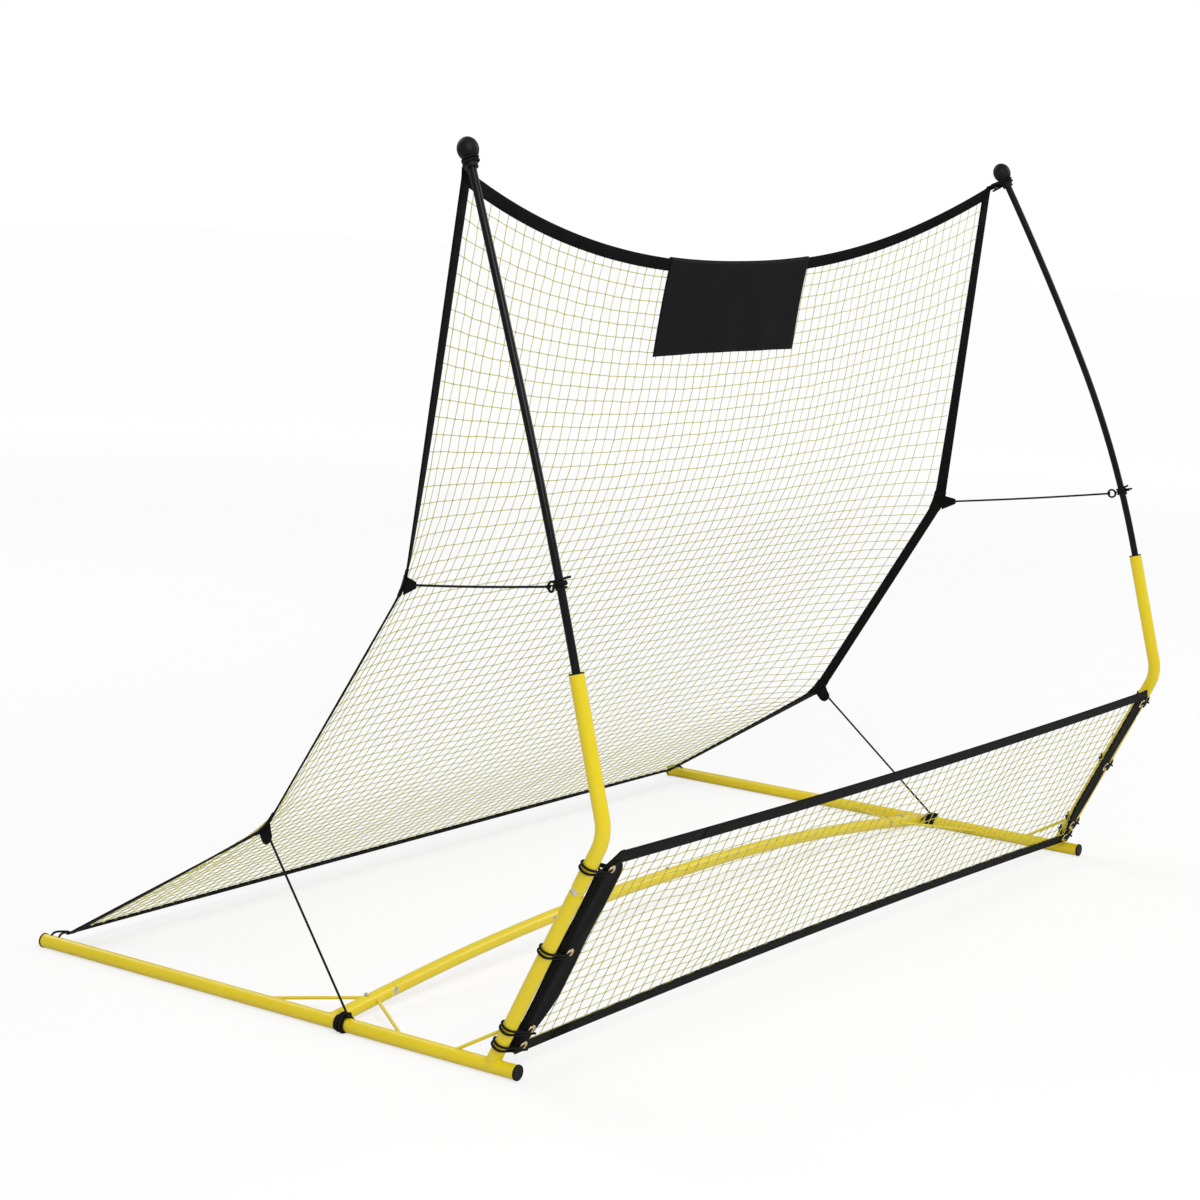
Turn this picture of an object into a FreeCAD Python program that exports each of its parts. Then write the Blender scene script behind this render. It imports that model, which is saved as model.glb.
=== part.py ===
import FreeCAD, Part
import math
import os
import Sketcher
from types import SimpleNamespace

# A pitch back rebounder: a plug-together tube frame that stands on two feet, with two springy
# poles, a large net that runs from the pole tips back to the feet, and a small net in front.
# X runs along the crossbar, the small net faces -Y, the large net reaches +Y and Z is up.
# The origin is on the ground, in the middle of the whole object's box. Millimetres and degrees.

Vector = FreeCAD.Vector
X_DIR = Vector(1, 0, 0)
Y_DIR = Vector(0, 1, 0)
Z_DIR = Vector(0, 0, 1)
SIDES = (("left", -1), ("right", 1))

SIZES = {
    # Tubes of the frame
    "track": 2080,
    "tube_radius": 12.7,
    "tube_wall": 1.2,
    "weld_gap": 0.05,
    "foot_front": 402,
    "foot_rear": 700,
    # Swaged bare ends that plug into the next tube
    "neck_gap": 0.3,
    "neck_taper": 6,
    "neck_shown": 5,
    "neck_reach": 80,
    # Foot caps, on which the frame stands
    "cap_proud": 1.0,
    "cap_flange": 3.5,
    "cap_chamfer": 0.8,
    "cap_plug": 9,
    "fit_gap": 0.1,
    # Crossbar
    "arch_angle": 6.45,
    "stub_reach": 155,
    "arch_lead": 20,
    "mid_straight": 70,
    "mid_seam": 45,
    # Uprights
    "upright_setback": 348,
    "upright_lean": 26,
    "upright_mouth": 358,
    "bend_centre": 473.4,
    "bend_radius": 75,
    "upper_lean": 15.5,
    "upper_leg": 259.4,
    # Poles
    "pole_radius": 7,
    "pole_seat": 62,
    "pole_lead": 5,
    "pole_arc": 441,
    "pole_first_turn": 11.4,
    "pole_second_turn": 3.8,
    "pole_bow_inward": 99,
    "pole_bow_rearward": 105,
    "bush_gap": 0.2,
    "bush_rim": 2.5,
    "ball_radius": 18.5,
    "ball_half_height": 21,
    "collar_radius": 11,
    "collar_drop": 34,
    # Welded brace rods
    "rod_radius": 3,
    "rod_rear_foot": 185,
    "rod_front_foot": 165,
    "rod_stub": 120,
    "rod_low_foot": 256,
    "rod_upright": 82,
    # Snap buttons and their leaf springs
    "button_inset": 60,
    "button_radius": 4,
    "button_proud": 4,
    "button_chamfer": 1,
    "button_gap": 0.3,
    "button_flange": 5.2,
    "button_flange_thick": 1,
    "spring_thick": 0.6,
    "spring_width": 6,
    "spring_seat": 0.15,
    "spring_reach": 42,
    "spring_bend": 3,
    # Corners of the large net: half width, place behind the crossbar, height
    "top_half": 928,
    "top_place": -133,
    "top_height": 1473,
    "mid_half": 950,
    "mid_place": -58,
    "mid_height": 768,
    "low_half": 961,
    "low_place": 234,
    "low_height": 294,
    "hem_half": 1008,
    "hem_place": 678,
    "hem_height": 23,
    "top_sag": 165,
    # How far the middle of the large net hangs back behind its flat edges, from the top down
    "upper_belly": 45,
    "mid_belly": 100,
    "middle_belly": 106,
    "low_belly": 150,
    "lower_belly": 64,
    "belly_columns": 12,
    "net_rim": 22,
    # Net, webbing and sewn pieces
    "net_thick": 2,
    "strand": 3,
    "band_width": 20,
    "band_thick": 4.8,
    "band_tuck": 14,
    "cloth_gap": 0.2,
    "fold_gap": 0.4,
    "net_columns": 28,
    "upper_rows": 10,
    "middle_rows": 9,
    "lower_rows": 9,
    "banner_half": 247,
    "banner_drop": 176,
    "banner_thick": 1,
    "banner_gap": 0.3,
    "patch_thick": 3,
    "patch_gap": 0.3,
    "mid_patch_length": 40,
    "mid_patch_base": 30,
    "mid_patch_tip": 13,
    "low_patch_length": 30,
    "low_patch_base": 30,
    "low_patch_tip": 16,
    # Cords
    "cord_radius": 1.5,
    "cord_gap": 0.3,
    "turn_gap": 0.6,
    "pole_tie_reach": 145,
    "pole_tie_turns": 3,
    "slip_loop_radius": 8,
    "foot_tie_place": 19,
    "foot_tie_turns": 3,
    "slip_loop_turn": 400,
    "tip_loop_turns": 2,
    "tip_loop_drop": 26,
    "tip_loop_short": 8,
    "tip_loop_opening": 120,
    "cord_hole_radius": 2.2,
    "cord_hole_rear": 15,
    "cord_hole_front": 35,
    "rear_loop_depth": 8,
    "rear_loop_rise": 7,
    "rear_loop_past": 6,
    "tail": 14,
    "short_tail": 2,
    "end_gap": 0.3,
    "wrap_corner_angle": 50,
    "edge_gap": 0.5,
    "cutter_reach": 5,
    # Small front net, in a plane in front of the upright stubs
    "front_offset": 16,
    "front_half": 1015,
    "front_low": 28,
    "front_high": 446,
    "front_corner_half": 995,
    "front_top_band": 18,
    "front_bottom_band": 17,
    "front_columns": 28,
    "front_rows": 10,
    "side_panel_width": 45,
    "side_panel_high": 427,
    "side_panel_slot": 23,
    "front_strap_low": 417,
    "front_strap_half": 1022,
    "front_strap_width": 8,
    "front_strap_root": 9,
    "front_strap_end": 4,
    "eyelet_bore": 4.5,
    "eyelet_radius": 9.5,
    "eyelet_thick": 0.8,
    "eyelet_barrel": 0.8,
    "eyelet_inset": 12,
    "tie_low": 45,
    "tie_next": 79.5,
    "tie_middle": 240,
    "tie_high": 410,
    "tie_clear": 9,
    "tie_shift": 1.1,
}

doc = FreeCAD.newDocument("PitchBackRebounder")
sheet = doc.addObject("Spreadsheet::Sheet", "Sizes")
for row, (alias, number) in enumerate(SIZES.items(), start=1):
    sheet.set("A%d" % row, alias)
    sheet.set("B%d" % row, str(number))
    sheet.setAlias("B%d" % row, alias)
doc.recompute()


class Size:
    """A number that remembers the sheet expression it comes from."""

    def __init__(self, value, text):
        self.value = float(value)
        self.text = text

    def __float__(self):
        return self.value

    def __add__(self, other):
        return Size(self.value + float(other), "(%s + %s)" % (self.text, text_of(other)))

    def __sub__(self, other):
        return Size(self.value - float(other), "(%s - %s)" % (self.text, text_of(other)))

    def __mul__(self, other):
        return Size(self.value * float(other), "(%s * %s)" % (self.text, text_of(other)))

    def __truediv__(self, other):
        return Size(self.value / float(other), "(%s / %s)" % (self.text, text_of(other)))

    def __neg__(self):
        return Size(-self.value, "(0 - %s)" % self.text)

    def __radd__(self, other):
        return self + other

    def __rmul__(self, other):
        return self * other

    def __rsub__(self, other):
        return -self + other


def text_of(number):
    """The expression text of a size or of a plain number."""
    return number.text if isinstance(number, Size) else repr(float(number))


def bind(thing, name, number):
    """Give a property its number and, where it has one, its sheet expression."""
    setattr(thing, name, float(number))
    if isinstance(number, Size):
        thing.setExpression(name, number.text)


S = SimpleNamespace(**{alias: Size(sheet.get(alias), "Sizes." + alias) for alias in SIZES})


def sin(angle):
    return math.sin(math.radians(angle))


def cos(angle):
    return math.cos(math.radians(angle))


def tan(angle):
    return math.tan(math.radians(angle))


# Sizes that follow from the sheet

bore_radius = S.tube_radius - S.tube_wall
neck_radius = bore_radius - S.neck_gap
neck_bore = neck_radius - S.tube_wall
axis_height = S.tube_radius + S.cap_proud
half_track = float(S.track) / 2
shoulder = S.neck_shown + S.neck_taper
bend_tangent = float(S.bend_radius) * tan(float(S.upright_lean + S.upper_lean) / 2)
bend_start = float(S.bend_centre) - bend_tangent
bend_front = float(S.upright_setback) + bend_start * sin(S.upright_lean)
bend_front += float(S.bend_radius) * (1 - cos(S.upright_lean)) + float(S.tube_radius)
origin_y = (bend_front - float(S.foot_rear + S.cap_flange)) / 2


def at(x, y, z):
    """A point given from the crossbar's line and the ground, in the part's own frame."""
    return Vector(float(x), float(y) + origin_y, float(z))


def unit(vector):
    return Vector(vector) / vector.Length


def facing(origin, z_dir, x_dir):
    """A placement whose local Z follows z_dir, with local X as near x_dir as it can be."""
    z = unit(z_dir)
    x = unit(x_dir - z * x_dir.dot(z))
    return FreeCAD.Placement(origin, FreeCAD.Rotation(x, z.cross(x), z, "ZXY"))


# Document objects

parts = {}


def keep(label, thing):
    """Name a finished piece; its label is the name of its file."""
    thing.Label = label
    parts[label] = thing
    return thing


def new_body(label, place):
    body = doc.addObject("PartDesign::Body", label)
    body.Placement = place
    return body


def new_sketch(body, role, name):
    sketch = body.newObject("Sketcher::SketchObject", name)
    plane = next(item for item in body.Origin.OriginFeatures if item.Role == role)
    sketch.AttachmentSupport = [(plane, "")]
    sketch.MapMode = "FlatFace"
    return sketch


def constrain(sketch, constraint, number):
    """Add a dimension and bind it to the sheet."""
    index = sketch.addConstraint(constraint)
    if isinstance(number, Size):
        sketch.setExpression("Constraints[%d]" % index, number.text)


def add_circle(sketch, radius):
    edge = sketch.addGeometry(Part.Circle(Vector(0, 0, 0), Z_DIR, float(radius)))
    sketch.addConstraint(Sketcher.Constraint("Coincident", edge, 3, -1, 1))
    constrain(sketch, Sketcher.Constraint("Radius", edge, float(radius)), radius)


def place_vertex(sketch, edge, axis, number):
    """Hold the start of an edge at a distance along one sketch axis."""
    value = float(number)
    if abs(value) < 1e-9:
        sketch.addConstraint(Sketcher.Constraint("PointOnObject", edge, 1, -2 if axis == "X" else -1))
    elif value > 0:
        constrain(sketch, Sketcher.Constraint("Distance" + axis, -1, 1, edge, 1, value), number)
    else:
        constrain(sketch, Sketcher.Constraint("Distance" + axis, edge, 1, -1, 1, -value), -number)


def add_polygon(sketch, corners):
    """A closed outline whose corners are pairs of sizes."""
    spots = [Vector(float(x), float(y), 0) for x, y in corners]
    count = len(spots)
    for index in range(count):
        sketch.addGeometry(Part.LineSegment(spots[index], spots[(index + 1) % count]))
    for index, (x, y) in enumerate(corners):
        before = index - 1 if index else count - 1
        sketch.addConstraint(Sketcher.Constraint("Coincident", before, 2, index, 1))
        place_vertex(sketch, index, "X", x)
        place_vertex(sketch, index, "Y", y)


def tube_body(label, place, outer, inner, length):
    """A straight round tube along local Z."""
    body = new_body(label, place)
    sketch = new_sketch(body, "XY_Plane", label + "_ring")
    add_circle(sketch, outer)
    add_circle(sketch, inner)
    pad = body.newObject("PartDesign::Pad", label + "_pad")
    pad.Profile = sketch
    bind(pad, "Length", length)
    return body


def turned_body(label, place, corners):
    """A piece turned about local Z from corners of radius and height."""
    body = new_body(label, place)
    sketch = new_sketch(body, "XZ_Plane", label + "_profile")
    add_polygon(sketch, corners)
    turn = body.newObject("PartDesign::Revolution", label + "_turn")
    turn.Profile = sketch
    turn.ReferenceAxis = (sketch, ["V_Axis"])
    turn.Angle = 360
    return body


def padded_body(label, place, corners, thickness):
    """A flat piece cut to an outline in local XY and thickened along local Z."""
    body = new_body(label, place)
    sketch = new_sketch(body, "XY_Plane", label + "_outline")
    add_polygon(sketch, corners)
    pad = body.newObject("PartDesign::Pad", label + "_pad")
    pad.Profile = sketch
    bind(pad, "Length", thickness)
    return body


def bent_body(label, place, radii, path):
    """A rod or tube that starts along local Z; each turn of its path bends it towards local X."""
    body = new_body(label, place)
    ring = new_sketch(body, "XY_Plane", label + "_ring")
    for radius in radii:
        add_circle(ring, radius)
    spine = new_sketch(body, "XZ_Plane", label + "_spine")
    x, y, heading = 0.0, 0.0, 0.0
    last = None
    for kind, size, turn in path:
        length = float(size)
        if kind == "run":
            end_x = x + length * math.sin(heading)
            end_y = y + length * math.cos(heading)
            edge = spine.addGeometry(Part.LineSegment(Vector(x, y, 0), Vector(end_x, end_y, 0)))
            start_vertex, end_vertex = 1, 2
        else:
            centre = Vector(x + length * math.cos(heading), y - length * math.sin(heading), 0)
            sweep = math.radians(turn)
            circle = Part.Circle(centre, Z_DIR, length)
            start_angle = math.pi - heading
            edge = spine.addGeometry(Part.ArcOfCircle(circle, start_angle - sweep, start_angle))
            heading += sweep
            end_x = centre.x - length * math.cos(heading)
            end_y = centre.y + length * math.sin(heading)
            start_vertex, end_vertex = 2, 1
        if last is None:
            spine.addConstraint(Sketcher.Constraint("Coincident", edge, start_vertex, -1, 1))
            spine.addConstraint(Sketcher.Constraint("Vertical", edge))
        else:
            spine.addConstraint(Sketcher.Constraint("Tangent", last[0], last[1], edge, start_vertex))
        if kind == "run":
            constrain(spine, Sketcher.Constraint("Distance", edge, length), size)
        else:
            constrain(spine, Sketcher.Constraint("Radius", edge, length), size)
            constrain(spine, Sketcher.Constraint("Angle", edge, math.radians(turn)), turn)
        last = (edge, end_vertex)
        x, y = end_x, end_y
    pipe = body.newObject("PartDesign::AdditivePipe", label + "_pipe")
    pipe.Profile = ring
    pipe.Spine = (spine, ["Edge%d" % (index + 1) for index in range(len(path))])
    return body


def path_end(place, path):
    """Where a bent body's path ends, and its direction there."""
    x, z, heading = 0.0, 0.0, 0.0
    for kind, size, turn in path:
        length = float(size)
        if kind == "run":
            x += length * math.sin(heading)
            z += length * math.cos(heading)
        else:
            after = heading + math.radians(turn)
            x += length * (math.cos(heading) - math.cos(after))
            z += length * (math.sin(after) - math.sin(heading))
            heading = after
    spot = place.multVec(Vector(x, 0, z))
    direction = place.Rotation.multVec(Vector(math.sin(heading), 0, math.cos(heading)))
    return spot, direction


def rod(label, start, direction, radius, length):
    """A round solid used as a rod or as a drill."""
    solid = doc.addObject("Part::Cylinder", label)
    bind(solid, "Radius", radius)
    bind(solid, "Height", length)
    solid.Placement = facing(start, direction, Vector(0.3, 0.5, 0.8))
    return solid


def cut(label, base, tools):
    """A base with each tool taken out of it in turn."""
    for index, tool in enumerate(tools):
        last = index == len(tools) - 1
        result = doc.addObject("Part::Cut", label if last else "%s_cut_%d" % (label, index))
        result.Base = base
        result.Tool = tool
        base = result
    return base


def fuse(label, pieces):
    result = doc.addObject("Part::MultiFuse", label)
    result.Shapes = pieces
    return result


def group(label, pieces):
    """Like pieces that share a node as separate solids."""
    result = doc.addObject("Part::Compound", label)
    result.Links = pieces
    return result


def feature(label, shape):
    """A piece whose shape is worked out here from the sheet's sizes."""
    result = doc.addObject("Part::Feature", label)
    result.Shape = shape
    result.Placement = FreeCAD.Placement()
    return result


# Cords: straight runs joined by tangent arcs

RUN_SHARE = 0.45
TURN_SHARE = 0.5


def rounded_route(points, share):
    """A wire along the points, with each corner an arc as large as its shorter run allows."""
    edges = []
    start = points[0]
    radii = []
    for index in range(1, len(points) - 1):
        before, corner, after = points[index - 1], points[index], points[index + 1]
        inward = unit(corner - before)
        outward = unit(after - corner)
        turn = inward.getAngle(outward)
        reach = share * min((corner - before).Length, (after - corner).Length)
        radius = reach / math.tan(turn / 2)
        radii.append(radius)
        first = corner - inward * reach
        last = corner + outward * reach
        to_centre = unit((first + last) / 2 - corner)
        middle = corner + to_centre * (math.hypot(radius, reach) - radius)
        if (first - start).Length > 1e-4:
            edges.append(Part.makeLine(start, first))
        edges.append(Part.Arc(first, middle, last).toShape())
        start = last
    if (points[-1] - start).Length > 1e-4:
        edges.append(Part.makeLine(start, points[-1]))
    return Part.Wire(edges), radii


def cord_solid(name, points, share=RUN_SHARE):
    """A cord of the common thickness along a route."""
    wire, radii = rounded_route(points, share)
    direction = points[1] - points[0]
    radius = float(S.cord_radius)
    profile = Part.Wire([Part.makeCircle(radius, points[0], direction)])
    solid = wire.makePipeShell([profile], True, False)
    due = math.pi * radius ** 2 * wire.Length
    tightest = min(radii) if radii else 0
    print("%s: length %.0f, tightest radius %.1f, volume %.4f of section times length, gap %s"
          % (name, wire.Length, tightest, solid.Volume / due, own_gap(wire)))
    return solid


def own_gap(wire):
    """The least gap between a winding's turns, measured on points of its route."""
    step = 1.0
    near = 5 * float(S.cord_radius) / step
    spots = wire.discretize(Distance=step)
    gaps = [(a - b).Length for i, a in enumerate(spots) for j, b in enumerate(spots) if j - i > near]
    least = min(gaps, default=1e9) - 2 * float(S.cord_radius)
    return "none" if least > 50 else "%.2f" % least


def turn_corners(place, radius, first_angle, sweep, climb):
    """Corners that wrap a circle about a placement's Z, climbing along it."""
    count = max(1, math.ceil(abs(sweep) / float(S.wrap_corner_angle)))
    step = sweep / count
    corners = []
    for index in range(count):
        angle = first_angle + (index + 0.5) * step
        reach = radius / cos(step / 2)
        height = climb * (index + 0.5) / count
        corners.append(place.multVec(Vector(reach * cos(angle), reach * sin(angle), height)))
    return corners


def wound_route(place, radius, first_angle, sweep, climb, tail):
    """A wrap round a placement's Z whose two tails leave it along its tangents."""
    points = turn_corners(place, radius, first_angle, sweep, climb)
    slope = climb / (radius * math.radians(sweep))
    ends = []
    for angle, way, height in ((first_angle, -1, 0), (first_angle + sweep, 1, climb)):
        x = radius * cos(angle) - way * tail * sin(angle)
        y = radius * sin(angle) + way * tail * cos(angle)
        ends.append(place.multVec(Vector(x, y, height + way * slope * tail)))
    return [ends[0]] + points + [ends[1]]


def on_side(sign, points):
    """A route drawn for the left side, mirrored for the right side."""
    return [Vector(-sign * point.x, point.y, point.z) for point in points]


# Flat pieces: outlines drawn in a plane and given a thickness

class Plane:
    """A flat working plane: its origin, two directions in it and its normal."""

    def __init__(self, origin, right, up):
        self.origin = origin
        self.right = unit(right)
        self.up = unit(up)
        self.out = self.right.cross(self.up)

    def spot(self, x, y, out=0.0):
        return self.origin + self.right * float(x) + self.up * float(y) + self.out * float(out)

    def loop(self, corners, out):
        """A closed wire; a corner of four numbers is reached by an arc through its first two."""
        edges = []
        last = corners[-1][-2:]
        for corner in corners:
            start, end = self.spot(*last, out), self.spot(*corner[-2:], out)
            if len(corner) == 4:
                edges.append(Part.Arc(start, self.spot(*corner[:2], out), end).toShape())
            else:
                edges.append(Part.makeLine(start, end))
            last = corner[-2:]
        return Part.Wire(edges)

    def plate(self, corners, low, high, holes=()):
        """A plate between two heights over the plane, with any holes."""
        wires = [self.loop(corners, low)] + [self.loop(hole, low) for hole in holes]
        face = Part.makeFace(wires, "Part::FaceMakerBullseye") if holes else Part.Face(wires[0])
        return face.extrude(self.out * (float(high) - float(low)))


def one_solid(shape):
    """The only solid of a boolean's result."""
    shape = shape.removeSplitter()
    return shape.Solids[0] if len(shape.Solids) == 1 else shape


# Feet

foot_length = S.foot_front + S.foot_rear


def foot_axis(sign, y):
    return at(sign * half_track, y, axis_height)


def foot_drill(label, sign, gap):
    """The space that a foot tube takes, with a gap round it."""
    return rod(label, foot_axis(sign, -float(S.foot_front)), Y_DIR, S.tube_radius + gap, foot_length)


def make_feet():
    for side, sign in SIDES:
        name = side + "_foot_tube"
        place = facing(foot_axis(sign, -float(S.foot_front)), Y_DIR, X_DIR)
        blank = tube_body(name + "_blank", place, S.tube_radius, bore_radius, foot_length)
        drills = []
        for index, inset in enumerate((S.cord_hole_rear, S.cord_hole_front)):
            spot = foot_axis(sign, float(S.foot_rear - inset))
            drills.append(rod("%s_drill_%d" % (name, index), spot, Z_DIR, S.cord_hole_radius,
                              S.tube_radius + S.cutter_reach))
        keep(name, cut(name, blank, drills))


def make_caps():
    plug = bore_radius - S.fit_gap
    flange = S.tube_radius + S.cap_proud
    rim = S.cap_plug + S.cap_flange
    corners = [
        (0, 0),
        (plug, 0),
        (plug, S.cap_plug),
        (flange, S.cap_plug),
        (flange, rim - S.cap_chamfer),
        (flange - S.cap_chamfer, rim),
        (0, rim),
    ]
    for end, y, direction in (("front", -S.foot_front, -1), ("rear", S.foot_rear, 1)):
        caps = []
        for side, sign in SIDES:
            start = foot_axis(sign, float(y) - direction * float(S.cap_plug))
            place = facing(start, Y_DIR * direction, X_DIR)
            caps.append(turned_body("%s_%s_foot_cap" % (side, end), place, corners))
        keep(end + "_foot_caps", group(end + "_foot_caps", caps))


# Sockets welded to the feet

def crossbar_direction(sign):
    """From a foot towards the middle of the crossbar."""
    return Vector(-sign * cos(S.arch_angle), 0, sin(S.arch_angle))


def crossbar_top(sign):
    """Straight up from a crossbar socket's axis, square to it."""
    return Vector(sign * sin(S.arch_angle), 0, cos(S.arch_angle))


crossbar_stub_length = S.stub_reach / cos(S.arch_angle)
stub_direction = Vector(0, -sin(S.upright_lean), cos(S.upright_lean))
stub_rear = Vector(0, cos(S.upright_lean), sin(S.upright_lean))


def upright_foot(sign):
    return foot_axis(sign, -float(S.upright_setback))


def button_drill(label, axis_spot, direction):
    return rod(label, axis_spot, direction, S.button_radius + S.button_gap,
               S.tube_radius + S.cutter_reach)


def make_stubs():
    for side, sign in SIDES:
        along_bar, above_bar = crossbar_direction(sign), crossbar_top(sign)
        stubs = (
            ("crossbar", foot_axis(sign, 0), along_bar, crossbar_stub_length, above_bar),
            ("upright", upright_foot(sign), stub_direction, S.upright_mouth, stub_rear),
        )
        for kind, start, direction, length, button_direction in stubs:
            name = "%s_%s_stub" % (side, kind)
            blank = tube_body(name + "_blank", facing(start, direction, Y_DIR + X_DIR),
                              S.tube_radius, bore_radius, length)
            button_spot = start + direction * float(length - S.button_inset)
            tools = [
                foot_drill(name + "_cope", sign, S.weld_gap),
                button_drill(name + "_drill", button_spot, button_direction),
            ]
            keep(name, cut(name, blank, tools))


def make_brace_rods():
    for side, sign in SIDES:
        on_bar = foot_axis(sign, 0) + crossbar_direction(sign) * (float(S.rod_stub) / cos(S.arch_angle))
        on_upright = upright_foot(sign) + stub_direction * float(S.rod_upright)
        bar = ("bar", foot_axis(sign, 0), crossbar_direction(sign), crossbar_stub_length)
        upright = ("upright", upright_foot(sign), stub_direction, S.upright_mouth)
        ends = (
            (foot_axis(sign, S.rod_rear_foot), on_bar, bar),
            (foot_axis(sign, -float(S.rod_front_foot)), on_bar, bar),
            (foot_axis(sign, -float(S.rod_low_foot)), on_upright, upright),
        )
        rods = []
        for index, (start, end, (kind, origin, direction, length)) in enumerate(ends):
            name = "%s_brace_rod_%d" % (side, index + 1)
            blank = rod(name + "_blank", start, end - start, S.rod_radius, (end - start).Length)
            copes = [
                foot_drill(name + "_foot_cope", sign, S.weld_gap),
                rod("%s_%s_cope" % (name, kind), origin, direction, S.tube_radius + S.weld_gap, length),
            ]
            rods.append(cut(name, blank, copes))
        keep(side + "_brace_rods", group(side + "_brace_rods", rods))


# Plugged tubes

def neck_body(label, shoulder_spot, direction):
    """The swaged end of a tube, from its shoulder outwards."""
    length = shoulder + S.neck_reach
    corners = [
        (bore_radius, 0),
        (S.tube_radius, 0),
        (neck_radius, S.neck_taper),
        (neck_radius, length),
        (neck_bore, length),
        (neck_bore, S.neck_taper),
    ]
    return turned_body(label, facing(shoulder_spot, direction, Vector(0.2, 1, 0.1)), corners)


arch_run = S.arch_lead / cos(S.arch_angle) - shoulder
arch_half = half_track - float(S.stub_reach + S.arch_lead)
arch_radius = (arch_half - float(S.mid_straight)) / sin(S.arch_angle)
arch_top = float(axis_height) + (half_track - arch_half) * tan(S.arch_angle)
arch_top += arch_radius * (1 - cos(S.arch_angle))


def make_crossbar():
    mouth_gap = float(shoulder)
    seam = float(S.mid_seam)
    lengths = {"left": S.mid_straight + S.mid_seam, "right": S.mid_straight - S.mid_seam - shoulder}
    for side, sign in SIDES:
        name = "crossbar_%s_tube" % side
        direction = crossbar_direction(sign)
        start = foot_axis(sign, 0) + direction * (float(crossbar_stub_length) + mouth_gap)
        place = facing(start, direction, -crossbar_top(sign))
        path = [
            ("run", arch_run, 0),
            ("turn", arch_radius, S.arch_angle),
            ("run", lengths[side], 0),
        ]
        pieces = [
            bent_body(name + "_bow", place, (S.tube_radius, bore_radius), path),
            neck_body(name + "_neck", start, -direction),
        ]
        button_spot = foot_axis(sign, 0) + direction * float(crossbar_stub_length - S.button_inset)
        drills = [button_drill(name + "_drill", button_spot, crossbar_top(sign))]
        if side == "right":
            pieces.append(neck_body(name + "_mid_neck", at(seam + mouth_gap, 0, arch_top), -X_DIR))
        drills.append(button_drill(name + "_mid_drill", at(seam - float(S.button_inset), 0, arch_top), Z_DIR))
        keep(name, cut(name, fuse(name + "_blank", pieces), drills))


upper_direction = Vector(0, sin(S.upper_lean), cos(S.upper_lean))
upright_run = S.bend_centre - bend_tangent - S.upright_mouth - shoulder
upper_run = S.upper_leg - bend_tangent
upright_path = [
    ("run", upright_run, 0),
    ("turn", S.bend_radius, S.upright_lean + S.upper_lean),
    ("run", upper_run, 0),
]


def upright_place(sign):
    start = upright_foot(sign) + stub_direction * float(S.upright_mouth + shoulder)
    return facing(start, stub_direction, stub_rear)


def make_upright_tubes():
    for side, sign in SIDES:
        name = side + "_upright_tube"
        place = upright_place(sign)
        pieces = [
            bent_body(name + "_bow", place, (S.tube_radius, bore_radius), upright_path),
            neck_body(name + "_neck", place.Base, -stub_direction),
        ]
        button_spot = upright_foot(sign) + stub_direction * float(S.upright_mouth - S.button_inset)
        drills = [button_drill(name + "_drill", button_spot, stub_rear)]
        keep(name, cut(name, fuse(name + "_blank", pieces), drills))


# Poles, their bushes and tips

pole_path = [
    ("run", S.pole_seat + S.pole_lead, 0),
    ("turn", float(S.pole_arc) / math.radians(S.pole_first_turn), S.pole_first_turn),
    ("turn", float(S.pole_arc) / math.radians(S.pole_second_turn), S.pole_second_turn),
]


def pole_mouth(sign):
    return path_end(upright_place(sign), upright_path)[0]


def pole_place(sign):
    """The pole starts inside the upright and bows inwards and back."""
    start = pole_mouth(sign) - upper_direction * float(S.pole_seat)
    rearward = Vector(0, cos(S.upper_lean), -sin(S.upper_lean))
    bow = X_DIR * (-sign * float(S.pole_bow_inward)) + rearward * float(S.pole_bow_rearward)
    return facing(start, upper_direction, bow)


def make_poles():
    inner = S.pole_radius + S.bush_gap
    corners = [
        (inner, 0),
        (bore_radius - S.fit_gap, 0),
        (bore_radius - S.fit_gap, S.pole_seat),
        (S.tube_radius, S.pole_seat),
        (S.tube_radius, S.pole_seat + S.bush_rim),
        (inner, S.pole_seat + S.bush_rim),
    ]
    for side, sign in SIDES:
        place = pole_place(sign)
        keep(side + "_pole_bush", turned_body(side + "_pole_bush", place, corners))
        keep(side + "_pole", bent_body(side + "_pole", place, (S.pole_radius,), pole_path))
        make_tip_ball(side, *path_end(place, pole_path))


def make_tip_ball(side, centre, direction):
    name = side + "_tip_ball"
    ball = doc.addObject("Part::Ellipsoid", name + "_round")
    bind(ball, "Radius1", S.ball_half_height)
    bind(ball, "Radius2", S.ball_radius)
    ball.Placement = facing(centre, direction, X_DIR)
    collar = rod(name + "_collar", centre - direction * float(S.collar_drop), direction,
                 S.collar_radius, S.collar_drop)
    socket = rod(name + "_socket", centre - direction * float(S.collar_drop + 1), direction,
                 S.pole_radius + S.bush_gap, S.collar_drop + 1 + S.bush_gap)
    keep(name, cut(name, fuse(name + "_blank", [ball, collar]), [socket]))


# Snap buttons

def button_places():
    """Each button's name, the tube axis under it, its direction and the way back along the neck."""
    places = []
    for side, sign in SIDES:
        direction = crossbar_direction(sign)
        spot = foot_axis(sign, 0) + direction * float(crossbar_stub_length - S.button_inset)
        places.append((side + "_crossbar_button", spot, crossbar_top(sign), direction))
        spot = upright_foot(sign) + stub_direction * float(S.upright_mouth - S.button_inset)
        places.append((side + "_upright_button", spot, stub_rear, stub_direction))
    spot = at(float(S.mid_seam - S.button_inset), 0, arch_top)
    places.append(("centre_crossbar_button", spot, Z_DIR, X_DIR))
    return places


flange_top = math.sqrt(float(neck_bore) ** 2 - float(S.button_flange) ** 2) - float(S.fit_gap)
flange_bottom = flange_top - float(S.button_flange_thick)


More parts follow.
